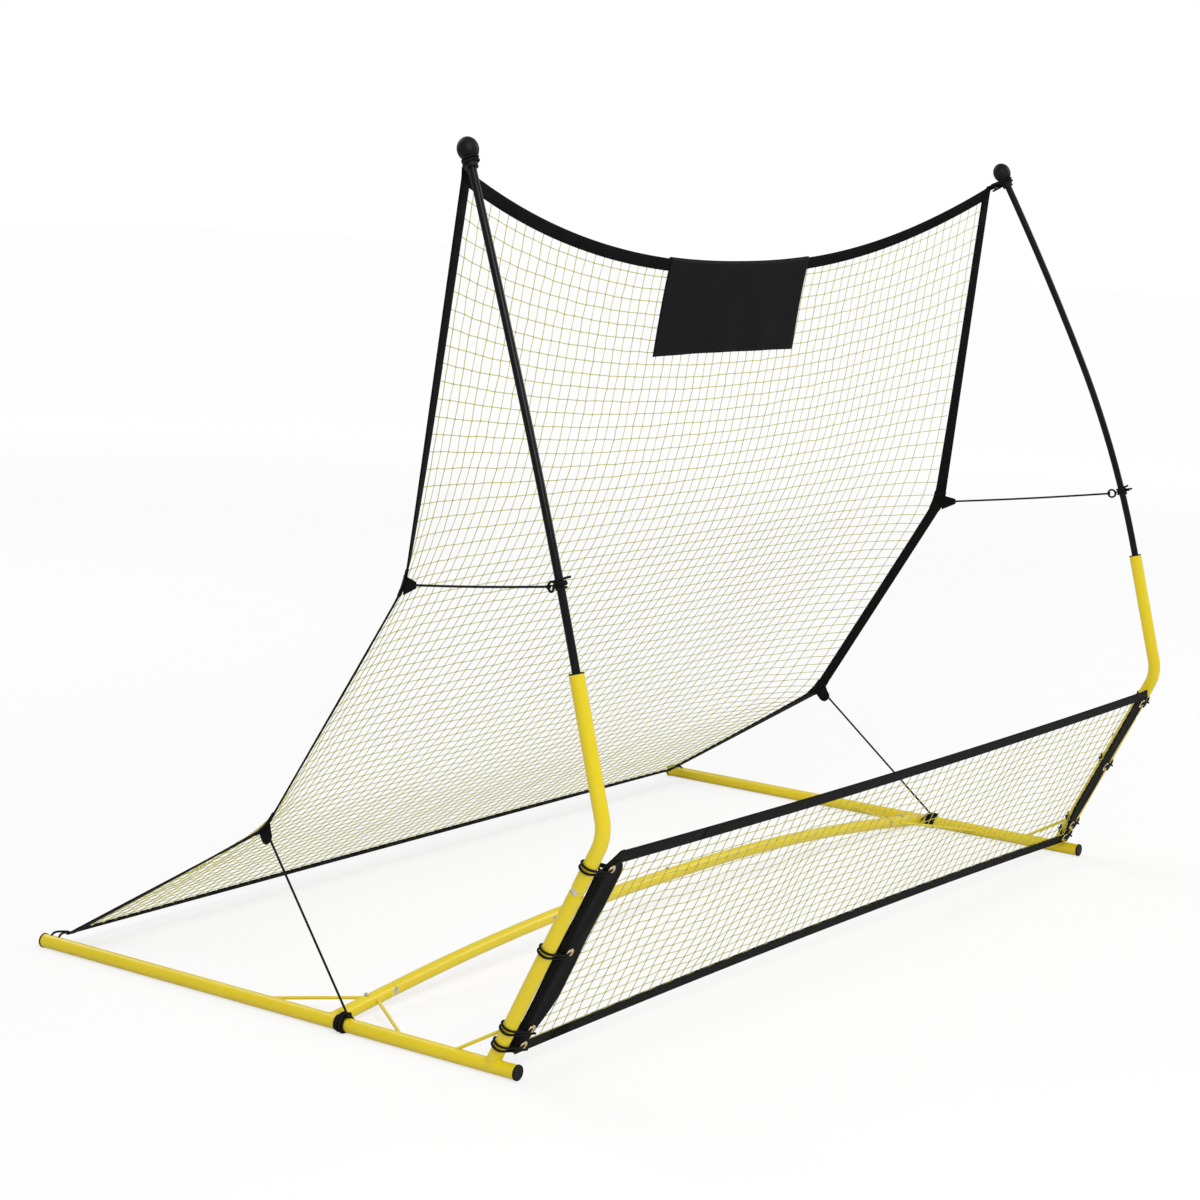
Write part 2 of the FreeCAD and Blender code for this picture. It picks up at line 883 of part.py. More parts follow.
def make_buttons():
    height = float(S.tube_radius + S.button_proud) - flange_bottom
    corners = [
        (0, 0),
        (S.button_flange, 0),
        (S.button_flange, S.button_flange_thick),
        (S.button_radius, S.button_flange_thick),
        (S.button_radius, height - float(S.button_chamfer)),
        (S.button_radius - S.button_chamfer, height),
        (0, height),
    ]
    springs = []
    for name, spot, out, along in button_places():
        place = facing(spot + out * flange_bottom, out, along)
        keep(name, turned_body(name, place, corners))
        springs.append(feature(name + "_spring", leaf_spring(spot, out, along)))
    keep("snap_springs", group("snap_springs", springs))


def leaf_spring(spot, out, along):
    """A strip bent into a V: one leg lies on the far wall, the other presses the button out."""
    half = float(S.spring_thick) / 2
    width = float(S.spring_width)
    lowest = math.sqrt(float(neck_bore) ** 2 - (width / 2) ** 2) - float(S.spring_seat)
    low = -(lowest - half)
    high = flange_bottom - float(S.spring_seat) - half
    flat = float(S.button_flange)
    reach = float(S.spring_reach)
    bend = float(S.spring_bend)
    # The centre line runs over the far leg, round the bend and back under the button.
    centre = Vector(reach, low + bend, 0)
    tilt = math.atan2(high - (low + 2 * bend), reach - flat)
    upper = Vector(centre.x + bend * math.sin(tilt), centre.y + bend * math.cos(tilt), 0)
    plane = Plane(spot - along.cross(out) * (width / 2), along, out)

    def side_line(offset):
        outer = bend + offset
        rise = Vector(math.sin(tilt), math.cos(tilt), 0)
        return [
            Vector(-flat, low - offset, 0),
            Vector(centre.x, centre.y - outer, 0),
            Vector(centre.x + outer, centre.y, 0),
            centre + rise * outer,
            Vector(flat, high + offset, 0),
            Vector(-flat, high + offset, 0),
        ]

    outside, inside = side_line(half), side_line(-half)
    corners = [
        (outside[0].x, outside[0].y),
        (outside[1].x, outside[1].y),
        (outside[2].x, outside[2].y, outside[3].x, outside[3].y),
        (outside[4].x, outside[4].y),
        (outside[5].x, outside[5].y),
        (inside[5].x, inside[5].y),
        (inside[4].x, inside[4].y),
        (inside[3].x, inside[3].y),
        (inside[2].x, inside[2].y, inside[1].x, inside[1].y),
        (inside[0].x, inside[0].y),
    ]
    return plane.plate(corners, 0, width)


# Large net

net_line = [
    (S.top_place, S.top_height),
    (S.mid_place, S.mid_height),
    (S.low_place, S.low_height),
    (S.hem_place, S.hem_height),
]
net_halves = [S.top_half, S.mid_half, S.low_half, S.hem_half]
sag_radius = (float(S.top_half) ** 2 + float(S.top_sag) ** 2) / (2 * float(S.top_sag))
sag_centre = sag_radius - float(S.top_sag)


def net_plane(index):
    """The plane of one of the three panels: x across, y up from the panel's lower line."""
    (top_y, top_z), (low_y, low_z) = net_line[index], net_line[index + 1]
    origin = at(0, low_y, low_z)
    return Plane(origin, X_DIR, at(0, top_y, top_z) - origin)


def panel_height(index):
    (top_y, top_z), (low_y, low_z) = net_line[index], net_line[index + 1]
    return math.hypot(float(top_y - low_y), float(top_z - low_z))


def sag_at(x, extra, height):
    """Height of the sagging top line over the upper panel's lower line, with extra width below it."""
    radius = sag_radius + extra
    return height + sag_centre - math.sqrt(radius ** 2 - x ** 2)


def edge_half(index, y, inset):
    """Half the net's width at a height in a panel, less an inset."""
    share = y / panel_height(index)
    low, high = float(net_halves[index + 1]), float(net_halves[index])
    return low + (high - low) * share - inset


def net_holes(index, rows, bottom_of, top_of):
    """Gaps between strands, in rows that follow the panel's top and bottom lines."""
    columns = int(float(S.net_columns))
    half_strand = float(S.strand) / 2
    inset = float(S.band_width)
    edge = edge_half(index, 0, inset)
    low_end, high_end = bottom_of(edge), top_of(edge)

    def spot(across, up):
        half = edge_half(index, low_end + (high_end - low_end) * up, inset)
        x = half * (2 * across - 1)
        return x, bottom_of(x) + (top_of(x) - bottom_of(x)) * up

    holes = []
    for row in range(rows):
        for column in range(columns):
            corners = [
                spot(column / columns, row / rows),
                spot((column + 1) / columns, row / rows),
                spot((column + 1) / columns, (row + 1) / rows),
                spot(column / columns, (row + 1) / rows),
            ]
            middle_x = sum(x for x, y in corners) / 4
            middle_y = sum(y for x, y in corners) / 4
            hole = []
            for x, y in corners:
                hole.append((x - math.copysign(half_strand, x - middle_x),
                             y - math.copysign(half_strand, y - middle_y)))
            holes.append(hole)
    return holes


def hang(depth, share):
    """How far back the net hangs at a share of its half width: a parabola that ends at its edges."""
    return float(depth) * (1 - min(1, share ** 2))


def level(y):
    return lambda x: y


def net_grid(index, rows):
    """Points of a panel, row by row: flat beside its edges, and hanging straight back between them."""
    plane = net_plane(index)
    edge_inset = float(S.band_width - S.band_tuck + S.cloth_gap)
    rim = float(S.net_rim)
    columns = int(float(S.belly_columns))

    def spot(line, depth, inset, share):
        half = edge_half(index, line(edge_half(index, panel_height(index), inset)), inset)
        return plane.spot(half * share, line(half * share)) + Y_DIR * hang(depth, share)

    grid = []
    for line, depth in rows:
        inner = [spot(line, depth, rim, 2 * column / columns - 1) for column in range(columns + 1)]
        grid.append([spot(line, 0, edge_inset, -1)] + inner + [spot(line, 0, edge_inset, 1)])
    return grid


def flat_face(points):
    return Part.Face(Part.makePolygon(points + points[:1]))


def thick_sheet(grid, rise):
    """A solid sheet of flat facets through rows of points, with its thickness along one direction."""
    faces = []
    for low, high in zip(grid, grid[1:]):
        for column in range(len(low) - 1):
            corners = [low[column], low[column + 1], high[column + 1], high[column]]
            if 2 * column >= len(low) - 1:
                corners = corners[1:] + corners[:1]
            for triangle in (corners[:3], [corners[0], corners[2], corners[3]]):
                faces.append(flat_face(triangle))
                faces.append(flat_face([point + rise for point in triangle]))
    right, left = [row[-1] for row in grid], [row[0] for row in grid]
    border = grid[0][:-1] + right[:-1] + grid[-1][:0:-1] + left[:0:-1]
    for start, end in zip(border, border[1:] + border[:1]):
        faces.append(flat_face([start, end, end + rise, start + rise]))
    skin = Part.makeCompound(faces)
    skin.sewShape()
    solid = Part.Solid(skin.Shells[0])
    if solid.Volume < 0:
        solid.reverse()
    return solid


def make_net_panels():
    """Each panel's rows are given from its lower line up, as a line and how far its middle hangs back."""
    half = float(S.net_thick) / 2
    edge_inset = float(S.band_width - S.band_tuck + S.cloth_gap)
    width, rim, fold, strand = (float(size) for size in (S.band_width, S.net_rim, S.fold_gap, S.strand))
    heights = [panel_height(index) for index in range(3)]
    # The top edge is made of straight runs, which must clear the sagging band that they are tucked into.
    top_inset = edge_inset + (2 * float(S.top_half / S.belly_columns)) ** 2 / (8 * sag_radius)

    def top_line(inset):
        return lambda x: sag_at(x, inset, heights[0])

    panels = {
        "upper": [
            (level(fold), S.mid_belly),
            (level(heights[0] / 2), S.upper_belly),
            (top_line(rim), 0),
            (top_line(top_inset), 0),
        ],
        "middle": [
            (level(fold), S.low_belly),
            (level(heights[1] / 2), S.middle_belly),
            (level(heights[1] - fold), S.mid_belly),
        ],
        "lower": [
            (level(edge_inset), 0),
            (level(rim), 0),
            (level(heights[2] / 2), S.lower_belly),
            (level(heights[2] - fold), S.low_belly),
        ],
    }
    gap_lines = {
        "upper": (level(fold + strand), top_line(width)),
        "middle": (level(fold + strand), level(heights[1] - fold - strand)),
        "lower": (level(width + strand), level(heights[2] - fold - strand)),
    }
    gap_rows = (S.upper_rows, S.middle_rows, S.lower_rows)
    for index, (name, rows) in enumerate(panels.items()):
        plane = net_plane(index)
        shown_half = float(net_halves[index]) - rim
        ends = [rows[0], rows[-1]]

        def lowered(line, depth, plane=plane, shown_half=shown_half):
            return lambda x: line(x) + hang(depth, x / shown_half) * Y_DIR.dot(plane.up)

        low_line, high_line = [lowered(line, end[1]) for line, end in zip(gap_lines[name], ends)]
        sheet = thick_sheet([[point - plane.out * half for point in row] for row in net_grid(index, rows)],
                            plane.out * (2 * half))
        reach = float(S.low_belly) + float(S.cutter_reach)
        gaps = [plane.plate(hole, -reach, reach)
                for hole in net_holes(index, int(float(gap_rows[index])), low_line, high_line)]
        label = name + "_net_panel"
        keep(label, feature(label, one_solid(sheet.cut(gaps))))


def folded_plate(ahead, behind):
    """The three panels' planes as one mitred plate, across the whole width and a little more."""
    spots = [at(0, y, z) for y, z in net_line]
    directions = [unit(b - a) for a, b in zip(spots, spots[1:])]
    normals = [direction.cross(X_DIR) for direction in directions]
    beyond = float(S.band_width)
    front, back = [], []
    for index, spot in enumerate(spots):
        before = normals[max(0, index - 1)]
        after = normals[min(2, index)]
        if index == 0:
            spot = spot - directions[0] * beyond
        if index == 3:
            spot = spot + directions[2] * beyond
        middle = unit(before + after)
        stretch = middle.dot(before)
        front.append(spot + middle * (ahead / stretch))
        back.append(spot - middle * (behind / stretch))
    loop = [point - X_DIR * half_track for point in front + back[::-1]]
    return Part.Face(Part.makePolygon(loop + loop[:1])).extrude(X_DIR * (2 * half_track))


def side_region(sign, outer_inset, inner_inset, low_z):
    """The strip beside the net's edge, seen from the front and thick enough to hold the whole net."""
    depth = 2 * float(S.foot_rear)
    heights = [float(z) for y, z in net_line]
    lines = []
    for inset in (outer_inset, inner_inset):
        lines.append([(float(half) - inset, z) for half, z in zip(net_halves, heights)])
    outline = lines[0] + lines[1][::-1]
    points = [Vector(sign * x, -depth, max(z, low_z)) for x, z in outline]
    return Part.Face(Part.makePolygon(points + points[:1])).extrude(Y_DIR * (2 * depth))


def make_side_bands():
    thick = float(S.band_thick) / 2
    slot = float(S.net_thick) / 2 + float(S.cloth_gap)
    width = float(S.band_width)
    web = width - float(S.band_tuck) - float(S.cloth_gap)
    outer_plate = folded_plate(thick, thick)
    slot_plate = folded_plate(slot, slot)
    for side, sign in SIDES:
        name = "net_%s_band" % side
        whole = outer_plate.common(side_region(sign, 0, width, 0))
        groove = slot_plate.common(side_region(sign, web, width + float(S.cutter_reach), 0))
        keep(name, feature(name, one_solid(whole.cut(groove))))


def make_top_band():
    plane = net_plane(0)
    height = panel_height(0)
    thick = float(S.band_thick) / 2
    slot = float(S.net_thick) / 2 + float(S.cloth_gap)
    width = float(S.band_width)
    web = width - float(S.band_tuck) - float(S.cloth_gap)
    reach = float(S.top_half) - width - float(S.cloth_gap)

    def strip(near, far, half):
        far_edge = sag_at(reach, far, height)
        near_edge = sag_at(reach, near, height)
        corners = [
            (-reach, far_edge),
            (0, sag_at(0, far, height), reach, far_edge),
            (reach, near_edge),
            (0, sag_at(0, near, height), -reach, near_edge),
        ]
        return plane.plate(corners, -half, half)

    groove = strip(web, width + float(S.cutter_reach), slot)
    keep("net_top_band", feature("net_top_band", one_solid(strip(0, width, thick).cut(groove))))


def make_bottom_band():
    plane = net_plane(2)
    thick = float(S.band_thick) / 2
    slot = float(S.net_thick) / 2 + float(S.cloth_gap)
    width = float(S.band_width)
    web = width - float(S.band_tuck) - float(S.cloth_gap)

    def strip(low, high, half):
        low_half = edge_half(2, low, width + float(S.edge_gap))
        high_half = edge_half(2, high, width + float(S.edge_gap))
        return plane.plate([(-low_half, low), (low_half, low), (high_half, high), (-high_half, high)],
                           -half, half)

    shape = strip(0, width, thick).cut(strip(web, width + float(S.cutter_reach), slot))
    keep("net_bottom_band", feature("net_bottom_band", one_solid(shape)))


def make_banner():
    plane = net_plane(0)
    height = panel_height(0)
    half = float(S.banner_half)
    low = float(S.band_thick) / 2 + float(S.banner_gap)
    top = sag_at(half, 0, height)
    bottom = sag_at(0, 0, height) - float(S.banner_drop)
    corners = [(-half, bottom), (half, bottom), (half, top), (0, sag_at(0, 0, height), -half, top)]
    keep("banner", feature("banner", plane.plate(corners, low, low + float(S.banner_thick))))


# Sewn patches and the cords that hold the large net

LEFT = -1


def edge_spot(index):
    """A fold of the net's left edge, in the middle of its band."""
    y, z = net_line[index]
    return at(-float(net_halves[index] - S.band_width / 2), y, z)


def patch_place(index, target):
    """A patch stands on the band's front face and points at what its cord is tied to."""
    start = edge_spot(index)
    along_edge = net_plane(index - 1).up + net_plane(index).up
    pull = unit(target - start)
    across = unit(along_edge - pull * along_edge.dot(pull))
    return facing(start, across.cross(pull), across)


def make_patches(name, place, base, tip, length):
    """Both sides' patches, trimmed to lie on the folded band; gives the left tip."""
    half = float(S.patch_thick) / 2
    seat = float(S.band_thick) / 2 + float(S.patch_gap)
    corners = [(-base / 2, 0), (base / 2, 0), (tip / 2, length), (-tip / 2, length)]
    for side, sign in SIDES:
        label = "%s_%s_patch" % (side, name)
        x_axis, y_axis = on_side(sign, [place.Rotation.multVec(X_DIR), place.Rotation.multVec(Y_DIR)])
        z_axis = x_axis.cross(y_axis)
        origin = on_side(sign, [place.Base])[0] - z_axis * half
        blank = padded_body(label + "_blank", facing(origin, z_axis, x_axis), corners, S.patch_thick)
        band = feature(label + "_band", folded_plate(seat, length))
        keep(label, cut(label, blank, [band]))
    return place.multVec(Vector(0, float(length + S.end_gap), 0))


def make_cords(name, *left_routes, share=TURN_SHARE, ground=False):
    """One cord piece on each side, from routes drawn for the left."""
    for side, sign in SIDES:
        label = "%s_%s" % (side, name)
        solids = []
        for index, route in enumerate(left_routes):
            solids.append(cord_solid("%s %d" % (label, index + 1), on_side(sign, route), share))
        if ground:
            below = Part.makeBox(4 * half_track, 4 * half_track, 20,
                                 Vector(-2 * half_track, -2 * half_track, -20))
            solids = [solid.cut(below).Solids[0] for solid in solids]
        keep(label, feature(label, solids[0] if len(solids) == 1 else Part.makeCompound(solids)))


pitch = 2 * float(S.cord_radius) + float(S.turn_gap)


def make_pole_ties():
    """From the middle patch to a slip knot on the pole."""
    path = [
        ("run", S.pole_seat + S.pole_lead, 0),
        ("turn", pole_path[1][1], math.degrees(float(S.pole_tie_reach - S.pole_lead) / pole_path[1][1])),
    ]
    spot, direction = path_end(pole_place(LEFT), path)
    frame = facing(spot, direction, edge_spot(1) - spot)
    cord = float(S.cord_radius)
    wrap_radius = float(S.pole_radius + S.cord_gap) + cord
    climb = pitch * float(S.pole_tie_turns)
    low = FreeCAD.Placement(frame.multVec(Vector(0, 0, -climb / 2)), frame.Rotation)
    wrap = wound_route(low, wrap_radius, 150, 360 * float(S.pole_tie_turns), climb, float(S.tail))
    # The slip loop stands between the wrap and the net, its strands side by side next to the wrap.
    loop_radius = float(S.slip_loop_radius)
    reach = wrap_radius + 2 * cord + loop_radius + 2 * float(S.cord_gap)
    centre = frame.multVec(Vector(reach, 0, 0))
    aim = unit(edge_spot(1) - centre)
    turn = float(S.slip_loop_turn)
    rise = pitch * turn / 360
    normal = frame.Rotation.multVec(Y_DIR)
    ring = facing(centre - normal * (rise / 2), normal, aim)
    loop = wound_route(ring, loop_radius, -turn / 2, turn, rise, 1)
    cord_end = centre + aim * (loop_radius + cord + float(S.end_gap))
    tip = make_patches("mid", patch_place(1, cord_end), S.mid_patch_base, S.mid_patch_tip,
                       S.mid_patch_length)
    make_cords("pole_tie_cord", [tip, cord_end])
    make_cords("pole_tie_wrap", wrap, loop)


def make_foot_ties():
    """From the low patch to a few turns round the foot."""
    cord = float(S.cord_radius)
    wrap_radius = float(S.tube_radius + S.cord_gap) + cord
    climb = pitch * float(S.foot_tie_turns)
    start = foot_axis(LEFT, -float(S.foot_tie_place) - climb)
    middle = start + Y_DIR * (climb / 2)
    frame = facing(start, Y_DIR, Z_DIR)
    wrap = wound_route(frame, wrap_radius, 20, 360 * float(S.foot_tie_turns), climb, float(S.tail))
    away = edge_spot(2) - middle
    away = unit(away - Y_DIR * away.y)
    cord_end = middle + away * (wrap_radius + 2 * cord + float(S.end_gap))
    tip = make_patches("low", patch_place(2, cord_end), S.low_patch_base, S.low_patch_tip,
                       S.low_patch_length)
    make_cords("foot_tie_cord", [tip, cord_end])
    make_cords("foot_tie_wrap", wrap, ground=True)


def make_tip_loops():
    """Round the collar of a pole's tip, with both ends at the net's top corner."""
    wrap_radius = float(S.collar_radius + S.cord_gap + S.cord_radius)
    turns = float(S.tip_loop_turns)
    centre, direction = path_end(pole_place(LEFT), pole_path)
    corner = at(-float(S.top_half - S.band_width / 2), S.top_place, S.top_height)
    spot = centre - direction * float(S.tip_loop_drop)
    frame = facing(spot, direction, corner - spot)
    reach = (corner - spot).Length - float(S.tip_loop_short)
    opening = float(S.tip_loop_opening)
    climb = pitch * turns
    points = turn_corners(frame, wrap_radius, opening / 2, 360 * turns - opening, climb)
    # The two ends lie side by side at the corner, a little further apart than the turns.
    beside, apart = float(S.cord_radius), float(S.short_tail)
    start = frame.multVec(Vector(reach, beside, -apart))
    end = frame.multVec(Vector(reach, -beside, climb + apart))
    make_cords("tip_loop", [start] + points + [end])


def make_rear_loops():
    """Through the two holes of a foot and past the net's rear corner."""
    rear = foot_axis(LEFT, float(S.foot_rear - S.cord_hole_rear))
    front = foot_axis(LEFT, float(S.foot_rear - S.cord_hole_front))
    y, z = net_line[3]
    depth, rise, past_corner = float(S.rear_loop_depth), float(S.rear_loop_rise), float(S.rear_loop_past)
    corner = at(-float(S.hem_half) - past_corner, y, float(z) + rise)
    inside = Z_DIR * (float(S.tube_radius) - depth)
    outside = Z_DIR * (float(S.tube_radius) + rise)
    points = [rear + inside, rear + outside, corner, front + outside, front + inside]
    make_cords("rear_loop", points, share=RUN_SHARE)


# Small front net

def front_plane():
    """Across the front net, and up along the upright sockets; out is towards the front."""
    forward = -stub_rear
    origin = at(0, -float(S.upright_setback), axis_height) + forward * float(S.front_offset)
    plane = Plane(origin, X_DIR, stub_direction)
    return plane


def make_front_net():
    plane = front_plane()
    half = float(S.net_thick) / 2
    tuck = float(S.band_tuck)
    side_edge = float(S.front_half - S.side_panel_slot - S.edge_gap)
    low = float(S.front_low + S.front_bottom_band) - tuck
    high = float(S.front_high - S.front_top_band) + tuck
    hole_half = float(S.front_half - S.side_panel_width)
    hole_low = float(S.front_low + S.front_bottom_band)
    hole_high = float(S.front_high - S.front_top_band)
    columns, rows = int(float(S.front_columns)), int(float(S.front_rows))
    step_x, step_y = 2 * hole_half / columns, (hole_high - hole_low) / (rows + 1)
    strand_corner = float(S.strand) * cos(45)
    reach_x, reach_y = step_x / 2 - strand_corner, step_y - strand_corner
    holes = []
    for row in range(rows):
        shift = row % 2
        for column in range(columns - shift):
            x = -hole_half + (column + 0.5 + shift / 2) * step_x
            y = hole_low + (row + 1) * step_y
            holes.append([(x - reach_x, y), (x, y - reach_y), (x + reach_x, y), (x, y + reach_y)])
    corners = [(-side_edge, low), (side_edge, low), (side_edge, high), (-side_edge, high)]
    keep("front_net_mesh", feature("front_net_mesh", plane.plate(corners, -half, half, holes)))


def make_front_bands():
    plane = front_plane()
    thick = float(S.band_thick) / 2
    slot = float(S.net_thick) / 2 + float(S.cloth_gap)
    tuck = float(S.band_tuck) + float(S.cloth_gap)
    low, high = float(S.front_low), float(S.front_high)
    outer = float(S.front_half)
    corner = float(S.front_corner_half)
    strap = float(S.front_strap_half)
    strap_low = float(S.front_strap_low)
    strap_in = strap - float(S.front_strap_width)
    inner_high = high - float(S.front_top_band)
    inner_low = low + float(S.front_bottom_band)
    beyond = float(S.cutter_reach)
    # The band's ends run out past the net and turn down as short straps behind the uprights.
    right_end = [
        (corner + float(S.front_strap_root), inner_high),
        (strap_in, strap_low),
        (strap, strap_low),
        (strap, strap_low + float(S.front_strap_end)),
        (corner, high),
    ]
    top = right_end + [(-x, y) for x, y in right_end[::-1]]
    groove_half = float(S.front_half - S.side_panel_slot)
    groove = [
        (-groove_half, inner_high - beyond),
        (groove_half, inner_high - beyond),
        (groove_half, inner_high + tuck),
        (-groove_half, inner_high + tuck),
    ]
    shape = plane.plate(top, -thick, thick).cut(plane.plate(groove, -slot, slot))
    keep("front_net_top_band", feature("front_net_top_band", one_solid(shape)))
    bottom_half = float(S.front_half - S.side_panel_width - S.cloth_gap)
    bottom = [(-bottom_half, low), (bottom_half, low), (bottom_half, inner_low), (-bottom_half, inner_low)]
    groove = [
        (-outer, inner_low - tuck),
        (outer, inner_low - tuck),
        (outer, inner_low + beyond),
        (-outer, inner_low + beyond),
    ]
    shape = plane.plate(bottom, -thick, thick).cut(plane.plate(groove, -slot, slot))
    keep("front_net_bottom_band", feature("front_net_bottom_band", one_solid(shape)))


tie_heights = (S.tie_low, S.tie_next, S.tie_middle, S.tie_high)


def make_side_panels():
    plane = front_plane()
    thick = float(S.band_thick) / 2
    slot = float(S.net_thick) / 2 + float(S.cloth_gap)
    outer = float(S.front_half)
    width = float(S.side_panel_width)
    low, high = float(S.front_low), float(S.side_panel_high)
    beyond = float(S.cutter_reach)
    round_top = width / 2
    eyelet_x = outer - float(S.eyelet_inset)
    hole_radius = float(S.eyelet_bore + S.eyelet_barrel + S.fit_gap)
    eyelets = []
    for side, sign in SIDES:
        name = side + "_front_net_side_panel"
        inner = outer - width
        corners = [
            (sign * inner, low),
            (sign * outer, low),
            (sign * outer, high - round_top),
            (sign * (outer - round_top), high, sign * inner, high - round_top),
        ]
        slot_end = outer - float(S.side_panel_slot)
        groove = [
            (sign * (inner - beyond), low - beyond),
            (sign * slot_end, low - beyond),
            (sign * slot_end, high + beyond),
            (sign * (inner - beyond), high + beyond),
        ]
        shape = plane.plate(corners, -thick, thick).cut(plane.plate(groove, -slot, slot))
        for index, height in enumerate(tie_heights):
            spot = plane.spot(sign * eyelet_x, height, -thick)
            shape = shape.cut(Part.makeCylinder(hole_radius, 2 * thick, spot, plane.out))
            eyelets.append(eyelet("%s_eyelet_%d" % (side, index), plane, sign * eyelet_x, height))
        keep(name, feature(name, one_solid(shape)))
    keep("front_net_eyelets", group("front_net_eyelets", eyelets))


def eyelet(name, plane, x, height):
    """A brass eyelet rolled over both faces of a side panel."""
    length = S.band_thick + S.eyelet_thick * 2 + S.fit_gap * 2
    barrel = S.eyelet_bore + S.eyelet_barrel
    corners = [
        (S.eyelet_bore, 0),
        (S.eyelet_radius, 0),
        (S.eyelet_radius, S.eyelet_thick),
        (barrel, S.eyelet_thick),
        (barrel, length - S.eyelet_thick),
        (S.eyelet_radius, length - S.eyelet_thick),
        (S.eyelet_radius, length),
        (S.eyelet_bore, length),
    ]
    return turned_body(name, facing(plane.spot(x, height, -float(length) / 2), plane.out, X_DIR), corners)


def make_front_ties():
    """Each tie goes round the upright, through its eyelet and round the upright again."""
    wrap_radius = float(S.tube_radius + S.cord_gap + S.cord_radius)
    inboard = half_track - float(S.front_half - S.eyelet_inset + S.tie_shift)
    near = (inboard, float(S.front_offset - S.tie_clear))
    far = (inboard, float(S.front_offset + S.tie_clear))
    front_angle = tangent_angle(far, wrap_radius, 1)
    rear_angle = tangent_angle(near, wrap_radius, -1) + 360
    turn = wrap_turn(wrap_radius, front_angle, rear_angle - front_angle)
    routes = []
    for height in tie_heights:
        spot = upright_foot(LEFT) + stub_direction * float(height)
        points = [past(wrap_radius, front_angle, far, float(S.tail)) + (-pitch,)]
        points += [(x, y, -pitch) for x, y in turn]
        points += [near + (0,), far + (0,)]
        points += [(x, y, pitch) for x, y in turn]
        points += [past(wrap_radius, rear_angle, near, float(S.short_tail)) + (pitch,)]
        # The tie's frame: inboard to the eyelet, forwards, and up along the upright.
        routes.append([spot + X_DIR * x - stub_rear * y + stub_direction * z for x, y, z in points])
    make_cords("front_net_ties", *routes, share=TURN_SHARE * 0.98)


def past(radius, angle, spot, tail):
    """A tail's end, beyond a spot on the straight run that leaves a wrap at an angle."""
    run = (spot[0] - radius * cos(angle), spot[1] - radius * sin(angle))
    length = math.hypot(*run)
    return spot[0] + run[0] * tail / length, spot[1] + run[1] * tail / length


def tangent_angle(spot, radius, way):
    """Where a taut run from a spot touches a circle about the origin."""
    distance = math.hypot(*spot)
    return math.degrees(math.atan2(spot[1], spot[0]) + way * math.acos(radius / distance))


def wrap_turn(radius, first_angle, sweep):
    """Corners whose sides touch a circle about the origin."""
    count = 4
    step = sweep / count
    reach = radius / cos(step / 2)
    angles = [first_angle + (index + 0.5) * step for index in range(count)]
    return [(reach * cos(angle), reach * sin(angle)) for angle in angles]


make_feet()
make_caps()
make_stubs()
make_brace_rods()
make_crossbar()
make_upright_tubes()
make_poles()
make_buttons()
make_net_panels()
make_side_bands()
make_top_band()
make_bottom_band()
make_banner()
make_pole_ties()
make_foot_ties()
make_tip_loops()
make_rear_loops()
make_front_net()
make_front_bands()
make_side_panels()
make_front_ties()
doc.recompute()


def check_pieces():
    """Stop before anything is written if an object failed or a shape isn't sound."""
    faults = []
    for thing in doc.Objects:
        bad = {"Invalid", "Error"} & set(thing.State)
        if bad:
            faults.append("%s is %s" % (thing.Label, ", ".join(sorted(bad))))
    for name, thing in parts.items():
        shape = thing.Shape
        if shape.isNull() or not shape.isValid() or not shape.Solids:
            faults.append("%s has no sound shape" % name)
        elif shape.Volume <= 0:
            faults.append("%s is inside out" % name)
    if faults:
        raise RuntimeError("; ".join(faults))


check_pieces()
os.makedirs("parts", exist_ok=True)
for name, thing in parts.items():
    thing.Shape.exportStep("parts/%s.step" % name)
print("%d pieces written" % len(parts))
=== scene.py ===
import math
import random

import bmesh
import bpy
from mathutils import Matrix, Vector, noise


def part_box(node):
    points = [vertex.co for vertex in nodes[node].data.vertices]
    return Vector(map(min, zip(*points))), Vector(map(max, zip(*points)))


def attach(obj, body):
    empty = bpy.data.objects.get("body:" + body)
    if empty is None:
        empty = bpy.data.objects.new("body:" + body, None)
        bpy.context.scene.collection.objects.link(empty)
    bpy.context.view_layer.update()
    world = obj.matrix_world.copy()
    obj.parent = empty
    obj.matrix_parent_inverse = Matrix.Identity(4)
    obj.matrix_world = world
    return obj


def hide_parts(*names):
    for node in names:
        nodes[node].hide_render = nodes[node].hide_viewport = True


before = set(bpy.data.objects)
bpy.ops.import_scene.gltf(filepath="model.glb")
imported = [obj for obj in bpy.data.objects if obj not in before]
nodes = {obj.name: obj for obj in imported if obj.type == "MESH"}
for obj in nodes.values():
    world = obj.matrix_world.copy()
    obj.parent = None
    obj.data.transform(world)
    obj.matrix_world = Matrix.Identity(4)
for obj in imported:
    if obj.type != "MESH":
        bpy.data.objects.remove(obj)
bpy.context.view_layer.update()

# The looks of the pitch back rebounder. Metres and degrees, in the frame of the solid parts:
# X runs along the crossbar, the small net faces -Y, the large net reaches +Y and Z is up.

SIDES = (("left", -1), ("right", 1))
X_DIR, Y_DIR, Z_DIR = Vector((1, 0, 0)), Vector((0, 1, 0)), Vector((0, 0, 1))
LEFT = -1

# Sizes repeated from the solid model

